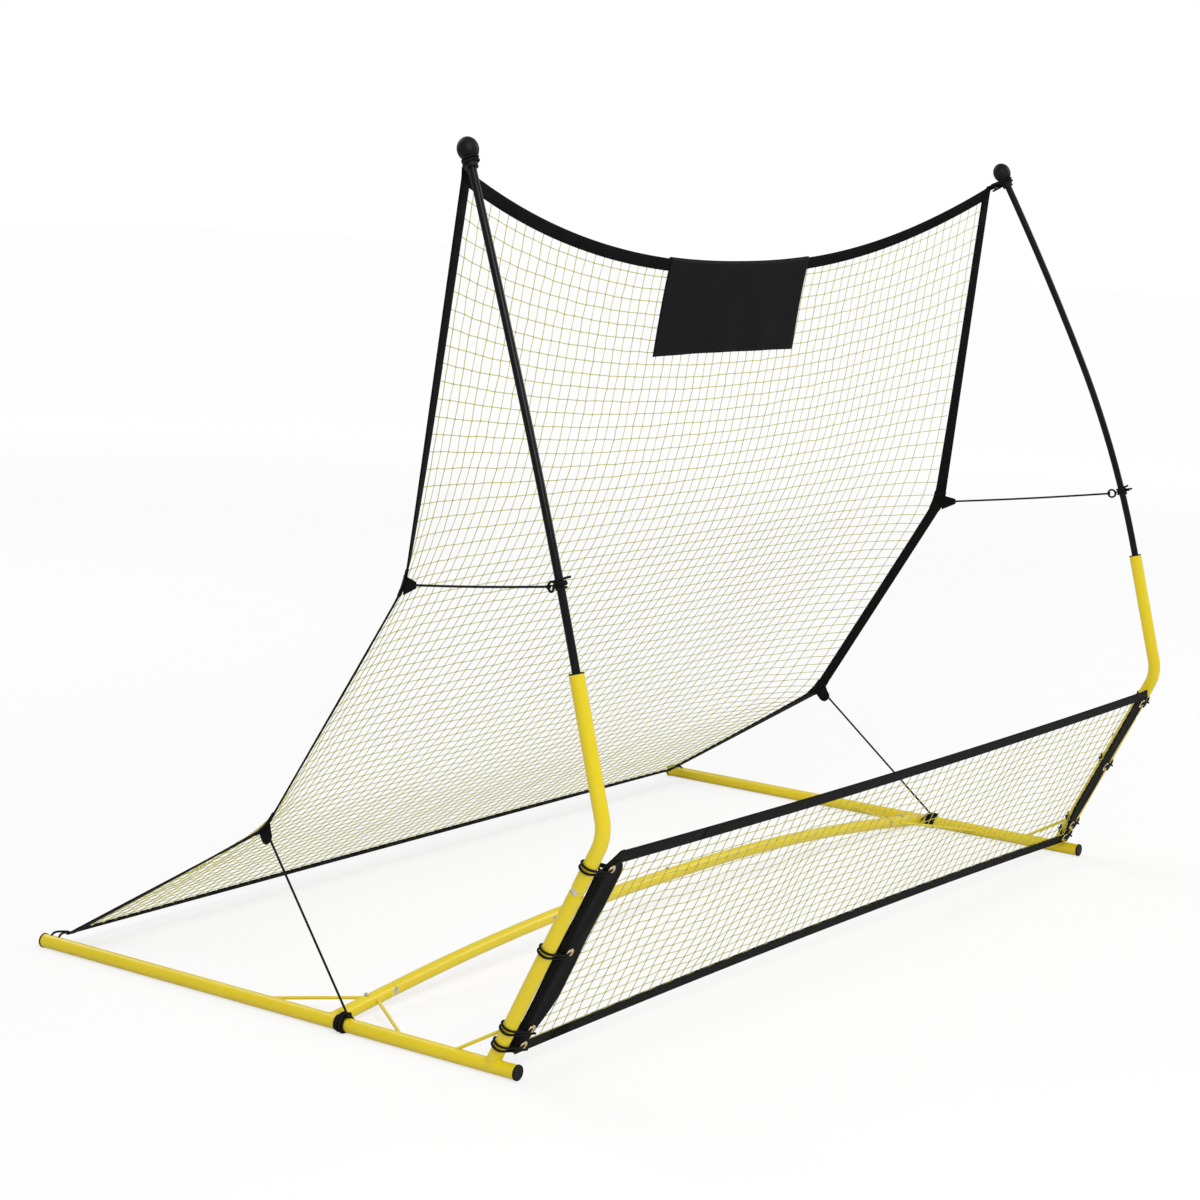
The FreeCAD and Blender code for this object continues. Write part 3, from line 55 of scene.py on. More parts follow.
TRACK_HALF = 1.040
TUBE = 0.0127
AXIS_HEIGHT = 0.0137
SHOULDER = 0.011
ARCH_ANGLE = 6.45
STUB_REACH = 0.155
UPRIGHT_SETBACK = 0.348
UPRIGHT_LEAN = 26
UPRIGHT_MOUTH = 0.358
BEND_CENTRE = 0.4734
BEND_RADIUS = 0.075
UPPER_LEAN = 15.5
UPPER_LEG = 0.2594
POLE_RADIUS = 0.007
POLE_SEAT = 0.062
POLE_LEAD = 0.005
POLE_ARC = 0.441
POLE_TURNS = (11.4, 3.8)
POLE_BOW = (0.099, 0.105)
FOOT_REAR = 0.700
ROD_RADIUS = 0.003
ROD_REAR_FOOT = 0.185
ROD_FRONT_FOOT = 0.165
ROD_STUB = 0.120
ROD_LOW_FOOT = 0.256
ROD_UPRIGHT = 0.082
NET_LINE = ((-0.133, 1.473), (-0.058, 0.768), (0.234, 0.294), (0.678, 0.023))
NET_HALVES = (0.928, 0.950, 0.961, 1.008)
TOP_SAG = 0.165
BAND_WIDTH = 0.0255
BAND_THICK = 0.0036
HEM_WIDTH = 0.0185
PANEL_THICK = 0.0048
BANNER_HALF = 0.247
BANNER_DROP = 0.181
CORD = 0.0021
CORD_GAP = 0.0003
FRONT_OFFSET = 0.016
PANEL_CURL = 0.010
FRONT_HALF = 1.015
FRONT_LOW = 0.028
FRONT_HIGH = 0.446
FRONT_CORNER = 0.995
FRONT_TOP_DIP = 0.013
FRONT_BOTTOM_RISE = 0.016
SIDE_PANEL_WIDTH = 0.050
SIDE_PANEL_HIGH = 0.427
STRAP_HALF = 1.022
STRAP_LOW = 0.417
EYELET_INSET = 0.012
TIE_HEIGHTS = (0.045, 0.0795, 0.240, 0.410)

bar_low, bar_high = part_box("left_crossbar_stub")
CROSSBAR_Y = (bar_low.y + bar_high.y) / 2


def sin(angle):
    return math.sin(math.radians(angle))


def cos(angle):
    return math.cos(math.radians(angle))


def tan(angle):
    return math.tan(math.radians(angle))


def at(x, y, z):
    """A point given from the crossbar's line and the ground."""
    return Vector((x, y + CROSSBAR_Y, z))


def facing(origin, z_dir, x_dir):
    """A placement whose local Z follows z_dir, with local X as near x_dir as it can be."""
    z = Vector(z_dir).normalized()
    x = (x_dir - z * x_dir.dot(z)).normalized()
    y = z.cross(x)
    return Matrix.Translation(origin) @ Matrix((x, y, z)).transposed().to_4x4()


def path_end(place, path):
    """Where a bent tube's path ends, and its direction there; each turn bends it towards local X."""
    x, z, heading = 0.0, 0.0, 0.0
    for length, turn in path:
        if turn:
            radius = length / math.radians(turn)
            after = heading + math.radians(turn)
            x += radius * (math.cos(heading) - math.cos(after))
            z += radius * (math.sin(after) - math.sin(heading))
            heading = after
        else:
            x += length * math.sin(heading)
            z += length * math.cos(heading)
    direction = place.to_3x3() @ Vector((math.sin(heading), 0, math.cos(heading)))
    return place @ Vector((x, 0, z)), direction


# Places on the frame

def foot_axis(sign, y):
    return at(sign * TRACK_HALF, y, AXIS_HEIGHT)


def crossbar_direction(sign):
    return Vector((-sign * cos(ARCH_ANGLE), 0, sin(ARCH_ANGLE)))


stub_direction = Vector((0, -sin(UPRIGHT_LEAN), cos(UPRIGHT_LEAN)))
stub_rear = Vector((0, cos(UPRIGHT_LEAN), sin(UPRIGHT_LEAN)))
upper_direction = Vector((0, sin(UPPER_LEAN), cos(UPPER_LEAN)))
bend_turn = UPRIGHT_LEAN + UPPER_LEAN
bend_tangent = BEND_RADIUS * tan(bend_turn / 2)
upright_path = (
    (BEND_CENTRE - bend_tangent - UPRIGHT_MOUTH - SHOULDER, 0),
    (BEND_RADIUS * math.radians(bend_turn), bend_turn),
    (UPPER_LEG - bend_tangent, 0),
)
pole_path = ((POLE_SEAT + POLE_LEAD, 0), (POLE_ARC, POLE_TURNS[0]), (POLE_ARC, POLE_TURNS[1]))


def upright_foot(sign):
    return foot_axis(sign, -UPRIGHT_SETBACK)


def upright_shoulder(sign):
    return upright_foot(sign) + stub_direction * (UPRIGHT_MOUTH + SHOULDER)


def crossbar_shoulder(sign):
    reach = STUB_REACH / cos(ARCH_ANGLE) + SHOULDER
    return foot_axis(sign, 0) + crossbar_direction(sign) * reach


def pole_place(sign):
    """The pole starts inside the upright and bows inwards and back."""
    mouth = path_end(facing(upright_shoulder(sign), stub_direction, stub_rear), upright_path)[0]
    rearward = Vector((0, cos(UPPER_LEAN), -sin(UPPER_LEAN)))
    bow = X_DIR * (-sign * POLE_BOW[0]) + rearward * POLE_BOW[1]
    return facing(mouth - upper_direction * POLE_SEAT, upper_direction, bow)


# The large net's surface

side_points = [at(0, y, z).yz for y, z in NET_LINE]
side_lengths = [(b - a).length for a, b in zip(side_points, side_points[1:])]
side_knots = [sum(side_lengths[:index]) / sum(side_lengths) for index in range(4)]
side_slopes = [(side_points[i + 1] - side_points[i]) / (side_knots[i + 1] - side_knots[i]) for i in range(3)]

# How far the middle of the net hangs behind its edges, level by level
BELLY = (0.025, 0.100, 0.150, 0.0)
upper_run = (side_points[0] - side_points[1]).normalized()
middle_points = [side_points[0] - upper_run * TOP_SAG + Vector((BELLY[0], 0))]
middle_points += [side_points[i] + Vector((BELLY[i], 0)) for i in (1, 2, 3)]
middle_steps = [(middle_points[i + 1] - middle_points[i]) / (side_knots[i + 1] - side_knots[i]) for i in range(3)]
# How suddenly it falls behind them from its sides, level by level
BELLY_POWERS = (3.0, 8.0, 4.6, 3.0)
SAG_POWER = 2.2
EDGE_SOFTNESS = 0.012
MIDDLE_SOFTNESS = 0.110


def span_of(share):
    """The panel that a share of the way down lies in, and how far through that panel it is."""
    index = 0 if share < side_knots[1] else 1 if share < side_knots[2] else 2
    return index, (share - side_knots[index]) / (side_knots[index + 1] - side_knots[index])


def edge_line(share, softness):
    """The net's folded edge, with its folds rounded over a window."""
    index, inside = span_of(share)
    spot = side_points[index].lerp(side_points[index + 1], inside)
    window = max(1e-6, min(softness, share, 1 - share))
    for fold in (1, 2):
        near = max(0.0, window - abs(share - side_knots[fold]))
        spot = spot + (side_slopes[fold] - side_slopes[fold - 1]) * (near * near / (4 * window))
    return spot


def middle_line(share):
    """The net's middle, a smooth curve through one point at each level."""
    index, inside = span_of(share)
    width = side_knots[index + 1] - side_knots[index]

    def slope(level):
        if level in (0, 3):
            return middle_steps[0 if level == 0 else 2]
        before = side_knots[level] - side_knots[level - 1]
        after = side_knots[level + 1] - side_knots[level]
        return (middle_steps[level - 1] * after + middle_steps[level] * before) / (before + after)

    t, start, end = inside, middle_points[index], middle_points[index + 1]
    return (
        start * (2 * t ** 3 - 3 * t ** 2 + 1)
        + end * (3 * t ** 2 - 2 * t ** 3)
        + slope(index) * (width * (t ** 3 - 2 * t ** 2 + t))
        + slope(index + 1) * (width * (t ** 3 - t ** 2))
    )


def by_level(values, share):
    """A value between those of the two nearest levels."""
    index, inside = span_of(share)
    return values[index] + (values[index + 1] - values[index]) * inside


def net_point(across, share):
    """A point of the net: across runs from -1 to 1, share from the top edge to the hem."""
    belly = 1 - abs(across) ** by_level(BELLY_POWERS, share)
    edge = edge_line(share, EDGE_SOFTNESS + (MIDDLE_SOFTNESS - EDGE_SOFTNESS) * belly)
    sag = upper_run * (-TOP_SAG * max(0.0, 1 - share / side_knots[1]))
    y, z = edge + sag * (1 - abs(across) ** SAG_POWER) + (middle_line(share) - edge - sag) * belly
    return Vector((across * by_level(NET_HALVES, share), y, z))


def waisted(x, up):
    """The small net draws in towards its middle: its top edge dips and its bottom edge rises."""
    share = (up - FRONT_LOW) / (FRONT_HIGH - FRONT_LOW)
    return up + (1 - (x / FRONT_HALF) ** 2) * (FRONT_BOTTOM_RISE * (1 - share) - FRONT_TOP_DIP * share)


def front_point(x, up, out=0.0):
    """A point of the small net's plane: out is towards the front."""
    origin = at(0, -UPRIGHT_SETBACK, AXIS_HEIGHT) - stub_rear * FRONT_OFFSET
    return origin + X_DIR * x + stub_direction * up - stub_rear * out


# Making pieces

def finished(name, thing, material, slot, *replaced):
    """Put a piece in the scene, on the frame, with its finish."""
    piece = bpy.data.objects.new(name, thing) if not isinstance(thing, bpy.types.Object) else thing
    if piece.name not in bpy.context.scene.collection.objects:
        bpy.context.scene.collection.objects.link(piece)
    piece.data.materials.clear()
    piece.data.materials.append(material)
    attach(piece, "frame")
    if replaced:
        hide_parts(*replaced)
    return piece


def mesh_of(name, bm, smooth=True):
    mesh = bpy.data.meshes.new(name)
    bmesh.ops.recalc_face_normals(bm, faces=bm.faces)
    for face in bm.faces:
        face.smooth = smooth
    bm.to_mesh(mesh)
    bm.free()
    return mesh


def swept(name, profile, frames):
    """Extrude a closed profile from frame to frame. UV runs in metres along the path and round the profile."""
    bm = bmesh.new()
    uv = bm.loops.layers.uv.new("UVMap")
    ring = [bm.verts.new(frames[0] @ Vector((x, y, 0))) for x, y in profile]
    face = bm.faces.new(ring)
    around = [0.0]
    for (x0, y0), (x1, y1) in zip(profile, profile[1:] + profile[:1]):
        around.append(around[-1] + math.hypot(x1 - x0, y1 - y0))
    spots = {vert: (0.0, index) for index, vert in enumerate(ring)}
    along = 0.0
    for last, place in zip(frames, frames[1:]):
        along += (place.translation - last.translation).length
        known = {vert.co.to_tuple(9): spots[vert][1] for vert in face.verts}
        grown = bmesh.ops.extrude_face_region(bm, geom=[face])["geom"]
        verts = [item for item in grown if isinstance(item, bmesh.types.BMVert)]
        face = next(item for item in grown if isinstance(item, bmesh.types.BMFace))
        for vert in verts:
            spots[vert] = (along, known[vert.co.to_tuple(9)])
        bmesh.ops.transform(bm, matrix=place @ last.inverted(), verts=verts)
    count = len(profile)
    for face in bm.faces:
        indices = [spots[loop.vert][1] for loop in face.loops]
        wraps = max(indices) == count - 1 and min(indices) == 0 and len(indices) == 4
        for loop, index in zip(face.loops, indices):
            place = around[count] if wraps and index == 0 else around[index]
            loop[uv].uv = (spots[loop.vert][0], place)
    return mesh_of(name, bm)


def frames_along(points, side):
    """Frames that follow a line of points: local X is side(index), made square to the line."""
    frames = []
    for index, point in enumerate(points):
        before = points[max(0, index - 1)]
        after = points[min(len(points) - 1, index + 1)]
        frames.append(facing(point, after - before, side(index)))
    return frames


def tubes(name, strands, radius, caps=True, sides=0):
    """Many thin strands as one mesh; each strand is a list of points and a share of the radius."""
    curve = bpy.data.curves.new(name, "CURVE")
    curve.dimensions = "3D"
    curve.bevel_depth = radius
    curve.bevel_resolution = sides
    curve.use_fill_caps = caps
    for strand, thickness in strands:
        spline = curve.splines.new("POLY")
        spline.points.add(len(strand) - 1)
        for point, spot in zip(spline.points, strand):
            point.co = (*spot, 1)
            point.radius = thickness
    holder = bpy.data.objects.new(name, curve)
    mesh = bpy.data.meshes.new_from_object(holder)
    bpy.data.objects.remove(holder)
    bpy.data.curves.remove(curve)
    for face in mesh.polygons:
        face.use_smooth = True
    return mesh


def cord_piece(name, points, material, replaced=(), radius=CORD,
               declared=True):
    """A cord as one smooth spline with the route's points as its control points."""
    curve = bpy.data.curves.new(name, "CURVE")
    curve.dimensions = "3D"
    curve.bevel_depth = radius
    curve.bevel_resolution = 3
    curve.resolution_u = 6
    curve.use_fill_caps = True
    spline = curve.splines.new("NURBS")
    spline.points.add(len(points) - 1)
    for point, spot in zip(spline.points, points):
        point.co = (*spot, 1)
    spline.order_u = 3
    spline.use_endpoint_u = True
    piece = finished(name, curve, material, "black_cord", *replaced)
    if declared:
        spline_length(points)
    return piece


def spline_length(points):
    """The length of the quadratic spline that starts and ends on its first and last point."""
    middles = [(a + b) / 2 for a, b in zip(points[1:-1], points[2:-1])]
    ends = [points[0]] + middles + [points[-1]]
    length = 0.0
    steps = 12
    for start, corner, end in zip(ends, points[1:-1], ends[1:]):
        last = start
        for step in range(1, steps + 1):
            t = step / steps
            spot = start.lerp(corner, t).lerp(corner.lerp(end, t), t)
            length += (spot - last).length
            last = spot
    return length


# Materials

def new_group(name, inputs, outputs):
    """A shader node group with named float, colour and vector sockets."""
    tree = bpy.data.node_groups.new(name, "ShaderNodeTree")
    for label, kind, value in inputs:
        socket = tree.interface.new_socket(name=label, in_out="INPUT", socket_type=kind)
        if value is not None:
            socket.default_value = value
    for label, kind in outputs:
        tree.interface.new_socket(name=label, in_out="OUTPUT", socket_type=kind)
    start = tree.nodes.new("NodeGroupInput")
    end = tree.nodes.new("NodeGroupOutput")
    return tree, start.outputs, end.inputs


def node(tree, kind, links=(), **settings):
    """Add a node, set its settings and link or set its inputs."""
    made = tree.nodes.new(kind)
    for label, value in settings.items():
        setattr(made, label, value)
    for label, value in dict(links).items():
        socket = made.inputs[label]
        if isinstance(value, bpy.types.NodeSocket):
            tree.links.new(value, socket)
        else:
            socket.default_value = value
    return made


def math_node(tree, operation, a, b=0.5, c=0.5):
    return node(tree, "ShaderNodeMath", {0: a, 1: b, 2: c}, operation=operation).outputs[0]


def blend_colours(tree, share, a, b, blend_type="MIX"):
    made = node(tree, "ShaderNodeMix", {0: share, 6: a, 7: b}, data_type="RGBA", blend_type=blend_type)
    return made.outputs[2]


FLOAT, COLOUR, VECTOR = "NodeSocketFloat", "NodeSocketColor", "NodeSocketVector"


def speckle_group():
    """Soft blotches and fine grain of a finish, from object coordinates in metres."""
    tree, inside, out = new_group("Finish grain", [
        ("Vector", VECTOR, None), ("Blotch Size", FLOAT, 0.08), ("Grain Size", FLOAT, 0.002),
    ], [("Blotch", FLOAT), ("Grain", FLOAT)])
    blotch_scale = math_node(tree, "DIVIDE", 1.0, inside["Blotch Size"])
    grain_scale = math_node(tree, "DIVIDE", 1.0, inside["Grain Size"])
    blotch = node(tree, "ShaderNodeTexNoise", {"Vector": inside["Vector"], "Scale": blotch_scale, "Detail": 3.0})
    grain = node(tree, "ShaderNodeTexNoise", {"Vector": inside["Vector"], "Scale": grain_scale, "Detail": 2.0})
    tree.links.new(blotch.outputs["Fac"], out["Blotch"])
    tree.links.new(grain.outputs["Fac"], out["Grain"])
    return tree


def weave_group():
    """A plain weave, from a surface coordinate in metres."""
    tree, inside, out = new_group("Plain weave", [
        ("Vector", VECTOR, None), ("Thread", FLOAT, 0.0006),
    ], [("Height", FLOAT), ("Gap", FLOAT)])
    scale = math_node(tree, "DIVIDE", math.pi, inside["Thread"])
    spread = node(tree, "ShaderNodeVectorMath", {0: inside["Vector"], "Scale": scale}, operation="SCALE")
    split = node(tree, "ShaderNodeSeparateXYZ", {0: spread.outputs[0]})
    u, v = split.outputs[0], split.outputs[1]
    warp = math_node(tree, "ABSOLUTE", math_node(tree, "SINE", u))
    weft = math_node(tree, "ABSOLUTE", math_node(tree, "SINE", v))
    checks = math_node(tree, "MULTIPLY", math_node(tree, "SINE", math_node(tree, "MULTIPLY", u, 0.5)),
                       math_node(tree, "SINE", math_node(tree, "MULTIPLY", v, 0.5)))
    over = math_node(tree, "MULTIPLY_ADD", checks, 0.5, 0.5)
    height = node(tree, "ShaderNodeMix", {0: over, 2: warp, 3: weft}, data_type="FLOAT").outputs[0]
    gap = math_node(tree, "SUBTRACT", 1.0, math_node(tree, "MULTIPLY", warp, weft))
    tree.links.new(height, out["Height"])
    tree.links.new(gap, out["Gap"])
    return tree


def stitch_group():
    """Two rows of lock stitch along a band, from its UV map in metres."""
    tree, inside, out = new_group("Stitch rows", [
        ("Vector", VECTOR, None), ("Row", FLOAT, 0.004), ("Length", FLOAT, 0.0035), ("Width", FLOAT, 0.0007),
    ], [("Stitch", FLOAT), ("Furrow", FLOAT)])
    split = node(tree, "ShaderNodeSeparateXYZ", {0: inside["Vector"]})
    beside = math_node(tree, "ABSOLUTE", math_node(tree, "SUBTRACT", split.outputs[1], inside["Row"]))
    row = node(tree, "ShaderNodeMapRange", {
        0: beside, 1: inside["Width"], 2: math_node(tree, "MULTIPLY", inside["Width"], 0.5), 3: 0.0, 4: 1.0,
    }).outputs[0]
    furrow = node(tree, "ShaderNodeMapRange", {
        0: beside, 1: math_node(tree, "MULTIPLY", inside["Width"], 3.0), 2: inside["Width"], 3: 0.0, 4: 1.0,
    }).outputs[0]
    phase = math_node(tree, "FRACT", math_node(tree, "DIVIDE", split.outputs[0], inside["Length"]))
    dash = math_node(tree, "LESS_THAN", math_node(tree, "ABSOLUTE", math_node(tree, "SUBTRACT", phase, 0.5)), 0.38)
    tree.links.new(math_node(tree, "MULTIPLY", row, dash), out["Stitch"])
    tree.links.new(furrow, out["Furrow"])
    return tree


def braid_group():
    """A braided or laid surface round a strand, from its UV map."""
    tree, inside, out = new_group("Braid", [
        ("Vector", VECTOR, None), ("Turns", FLOAT, 60.0), ("Strands", FLOAT, 6.0), ("Crossed", FLOAT, 1.0),
    ], [("Height", FLOAT)])
    split = node(tree, "ShaderNodeSeparateXYZ", {0: inside["Vector"]})
    along = math_node(tree, "MULTIPLY", split.outputs[0], inside["Turns"])
    around = math_node(tree, "MULTIPLY", split.outputs[1], inside["Strands"])
    waves = []
    for operation in ("ADD", "SUBTRACT"):
        phase = math_node(tree, "MULTIPLY", math_node(tree, operation, along, around), math.pi)
        waves.append(math_node(tree, "ABSOLUTE", math_node(tree, "SINE", phase)))
    crossed = math_node(tree, "MAXIMUM", waves[0], waves[1])
    height = node(tree, "ShaderNodeMix", {0: inside["Crossed"], 2: waves[0], 3: crossed}, data_type="FLOAT")
    tree.links.new(height.outputs[0], out["Height"])
    return tree


def bare_end_group():
    """1 on a painted tube's bare metal neck, beyond a plane through a point and on one side: the bare neck is real, and
    keeping it to the one side is a painted glint.
    """
    tree, inside, out = new_group("Bare end", [
        ("Vector", VECTOR, None), ("Point", VECTOR, None), ("Outward", VECTOR, None), ("Facing", VECTOR, None),
    ], [("Bare", FLOAT)])
    ragged = node(tree, "ShaderNodeTexNoise", {"Vector": inside["Vector"], "Scale": 900.0})
    away = node(tree, "ShaderNodeVectorMath", {0: inside["Vector"], 1: inside["Point"]}, operation="SUBTRACT")
    depth = node(tree, "ShaderNodeVectorMath", {0: away.outputs[0], 1: inside["Outward"]}, operation="DOT_PRODUCT")
    wobble = math_node(tree, "MULTIPLY_ADD", ragged.outputs["Fac"], 0.0006, depth.outputs["Value"])
    bare = node(tree, "ShaderNodeMapRange", {0: wobble, 1: 0.0002, 2: 0.0006, 3: 0.0, 4: 1.0})
    side = node(tree, "ShaderNodeVectorMath", {0: away.outputs[0]}, operation="LENGTH")
    near = math_node(tree, "LESS_THAN", side.outputs["Value"], 0.12)
    turned = node(tree, "ShaderNodeVectorMath", {0: away.outputs[0], 1: inside["Facing"]}, operation="DOT_PRODUCT")
    # Painted glint: the bare metal shows only on the side that faces the Facing direction.
    patch = math_node(tree, "MULTIPLY_ADD", ragged.outputs["Fac"], 0.006, turned.outputs["Value"])
    patch = node(tree, "ShaderNodeMapRange", {0: patch, 1: 0.0120, 2: 0.0135, 3: 0.0, 4: 1.0}).outputs[0]
    bare = math_node(tree, "MULTIPLY", math_node(tree, "MULTIPLY", bare.outputs[0], near), patch)
    tree.links.new(bare, out["Bare"])
    return tree


grain_tree = speckle_group()
weave_tree = weave_group()
stitch_tree = stitch_group()
braid_tree = braid_group()
bare_end_tree = bare_end_group()


def new_material(name, **values):
    """A material with its shader's plain values set on the shader's own sockets."""
    material = bpy.data.materials.new(name)
    material.use_nodes = True
    tree = material.node_tree
    shader = tree.nodes["Principled BSDF"]
    for label, value in values.items():
        shader.inputs[label.replace("_", " ")].default_value = value
    return material, tree, shader


def placed(tree, group, links):
    made = tree.nodes.new("ShaderNodeGroup")
    made.node_tree = group
    for label, value in links.items():
        if isinstance(value, bpy.types.NodeSocket):
            tree.links.new(value, made.inputs[label])
        else:
            made.inputs[label].default_value = value
    return made.outputs


def bumped(tree, shader, height, distance, strength=1.0):
    bump = node(tree, "ShaderNodeBump", {"Height": height, "Distance": distance, "Strength": strength})
    tree.links.new(bump.outputs[0], shader.inputs["Normal"])


def ranged(tree, value, low, high):
    return node(tree, "ShaderNodeMapRange", {0: value, 1: 0.3, 2: 0.7, 3: low, 4: high}).outputs[0]


YELLOW = (0.800, 0.630, 0.008, 1)
YELLOW_DEEP = (0.740, 0.560, 0.005, 1)
STEEL = (0.62, 0.62, 0.60, 1)
BLACK = (0.004, 0.004, 0.004, 1)
BLACK_WORN = (0.008, 0.008, 0.008, 1)
CREAM = (0.66, 0.63, 0.18, 1)
CREAM_SHADE = (0.48, 0.45, 0.10, 1)


def paint(name, end=None):
    """Glossy yellow powder coat; beyond an end's plane the swaged neck is bare metal, which is real, shown on one side
    only, which is a painted glint.
    """
    material, tree, shader = new_material(name, Coat_Roughness=0.15, Specular_IOR_Level=0.4)
    place = node(tree, "ShaderNodeTexCoord").outputs["Object"]
    grain = placed(tree, grain_tree, {"Vector": place, "Blotch Size": 0.12, "Grain Size": 0.0022})
    colour = blend_colours(tree, ranged(tree, grain["Blotch"], 0.0, 0.6), YELLOW, YELLOW_DEEP)
    rough = ranged(tree, grain["Blotch"], 0.30, 0.38)
    if end:
        point, outward, side = end
        bare = placed(tree, bare_end_tree, {"Vector": place, "Point": point, "Outward": outward,
                                            "Facing": side})["Bare"]
        colour = blend_colours(tree, bare, colour, STEEL)
        rough = node(tree, "ShaderNodeMix", {0: bare, 2: rough, 3: ranged(tree, grain["Grain"], 0.28, 0.42)},
                     data_type="FLOAT").outputs[0]
        tree.links.new(bare, shader.inputs["Metallic"])
        tree.links.new(math_node(tree, "MULTIPLY_ADD", bare, -0.2, 0.2), shader.inputs["Coat Weight"])
    else:
        shader.inputs["Coat Weight"].default_value = 0.2
    tree.links.new(colour, shader.inputs["Base Color"])
    tree.links.new(rough, shader.inputs["Roughness"])
    bumped(tree, shader, grain["Grain"], 0.00012, 0.5)
    return material


def metal(name, colour, dull):
    material, tree, shader = new_material(name, Metallic=1.0)
    place = node(tree, "ShaderNodeTexCoord").outputs["Object"]
    grain = placed(tree, grain_tree, {"Vector": place, "Blotch Size": 0.01, "Grain Size": 0.0006})
    tarnish = tuple(0.72 * part for part in colour[:3]) + (1,)
    tree.links.new(blend_colours(tree, ranged(tree, grain["Blotch"], 0.0, 0.7), colour, tarnish),
                   shader.inputs["Base Color"])
    tree.links.new(ranged(tree, grain["Grain"], dull - 0.08, dull + 0.08), shader.inputs["Roughness"])
    bumped(tree, shader, grain["Grain"], 0.00004, 0.6)
    return material


def black_rod_material():
    """Pultruded rod: fine grain drawn out along the rod, under a satin skin."""
    material, tree, shader = new_material("Black rod", Specular_IOR_Level=0.14)
    place = node(tree, "ShaderNodeTexCoord").outputs["Object"]
    drawn = node(tree, "ShaderNodeMapping", {"Vector": place, "Scale": (1.0, 1.0, 0.04)})
    grain = placed(tree, grain_tree, {"Vector": drawn.outputs[0], "Blotch Size": 0.02, "Grain Size": 0.0009})
    tree.links.new(blend_colours(tree, ranged(tree, grain["Grain"], 0.0, 1.0), BLACK, BLACK_WORN),
                   shader.inputs["Base Color"])
    tree.links.new(ranged(tree, grain["Blotch"], 0.22, 0.32), shader.inputs["Roughness"])
    bumped(tree, shader, grain["Grain"], 0.00006, 0.6)
    return material


def black_plastic_material():
    """Moulded plastic with a fine satin texture."""
    material, tree, shader = new_material("Black plastic", Specular_IOR_Level=0.15)
    place = node(tree, "ShaderNodeTexCoord").outputs["Object"]
    grain = placed(tree, grain_tree, {"Vector": place, "Blotch Size": 0.015, "Grain Size": 0.0007})
    tree.links.new(blend_colours(tree, ranged(tree, grain["Blotch"], 0.0, 1.0), BLACK, BLACK_WORN),
                   shader.inputs["Base Color"])
    tree.links.new(ranged(tree, grain["Blotch"], 0.42, 0.55), shader.inputs["Roughness"])
    bumped(tree, shader, grain["Grain"], 0.00010, 0.8)
    return material


def cloth_material(name, thread, rows=(), rough=0.8):
    """Black woven cloth or webbing, with its weave and its rows of stitching on its UV map."""
    material, tree, shader = new_material(name, Specular_IOR_Level=0.08)
    place = node(tree, "ShaderNodeTexCoord")
    weave = placed(tree, weave_tree, {"Vector": place.outputs["UV"], "Thread": thread})
    grain = placed(tree, grain_tree, {"Vector": place.outputs["Object"], "Blotch Size": 0.04, "Grain Size": 0.001})
    colour = blend_colours(tree, ranged(tree, grain["Blotch"], 0.0, 0.8), BLACK, BLACK_WORN)
    # Painted shade: the gaps between the threads are darkened towards near black.
    colour = blend_colours(tree, math_node(tree, "MULTIPLY", weave["Gap"], 0.5), colour, (0.002, 0.002, 0.002, 1))
    height = weave["Height"]
    for row in rows:
        sewn = placed(tree, stitch_tree, {"Vector": place.outputs["UV"], "Row": row})
        colour = blend_colours(tree, math_node(tree, "MULTIPLY", sewn["Stitch"], 0.5), colour, (0.02, 0.02, 0.02, 1))
        height = math_node(tree, "MULTIPLY_ADD", sewn["Furrow"], -1.6, height)
        height = math_node(tree, "MULTIPLY_ADD", sewn["Stitch"], 2.6, height)
    tree.links.new(colour, shader.inputs["Base Color"])
    tree.links.new(ranged(tree, grain["Grain"], rough - 0.08, rough + 0.08), shader.inputs["Roughness"])
    bumped(tree, shader, height, 0.00022, 0.9)
    return material


def strand_material(name, colour, shade, turns, strands, crossed, rough, shine):
    """Twine or braided cord, on its UV map."""
    material, tree, shader = new_material(name, Specular_IOR_Level=shine)
    place = node(tree, "ShaderNodeTexCoord")
    braid = placed(tree, braid_tree, {"Vector": place.outputs["UV"], "Turns": turns, "Strands": strands,
                                      "Crossed": crossed})
    grain = placed(tree, grain_tree, {"Vector": place.outputs["Object"], "Blotch Size": 0.05, "Grain Size": 0.001})
    lit = blend_colours(tree, braid["Height"], shade, colour)
    tree.links.new(blend_colours(tree, ranged(tree, grain["Blotch"], 0.0, 0.35), lit, shade),
                   shader.inputs["Base Color"])
    tree.links.new(ranged(tree, grain["Grain"], rough - 0.06, rough + 0.06), shader.inputs["Roughness"])
    bumped(tree, shader, braid["Height"], 0.00025, 0.8)
    return material


yellow_paint = paint("Yellow powder coat")
bare_steel = metal("Bare steel", STEEL, 0.30)
brass = metal("Rolled brass", (0.80, 0.66, 0.36, 1), 0.28)
black_rod = black_rod_material()
black_plastic = black_plastic_material()
webbing = cloth_material("Black webbing", 0.0011, rows=(0.0045, 0.0300), rough=0.78)
panel_cloth = cloth_material("Black panel cloth", 0.0007, rough=0.7)
banner_cloth = cloth_material("Banner cloth", 0.0004, rough=0.6)
twine = strand_material("Cream twine", CREAM, CREAM_SHADE, 120.0, 2.0, 0.0, 0.75, 0.2)
black_cord = strand_material("Black braided cord", (0.010, 0.010, 0.010, 1), (0.003, 0.003, 0.003, 1),
                             90.0, 4.0, 1.0, 0.6, 0.1)


# The frame's own solids

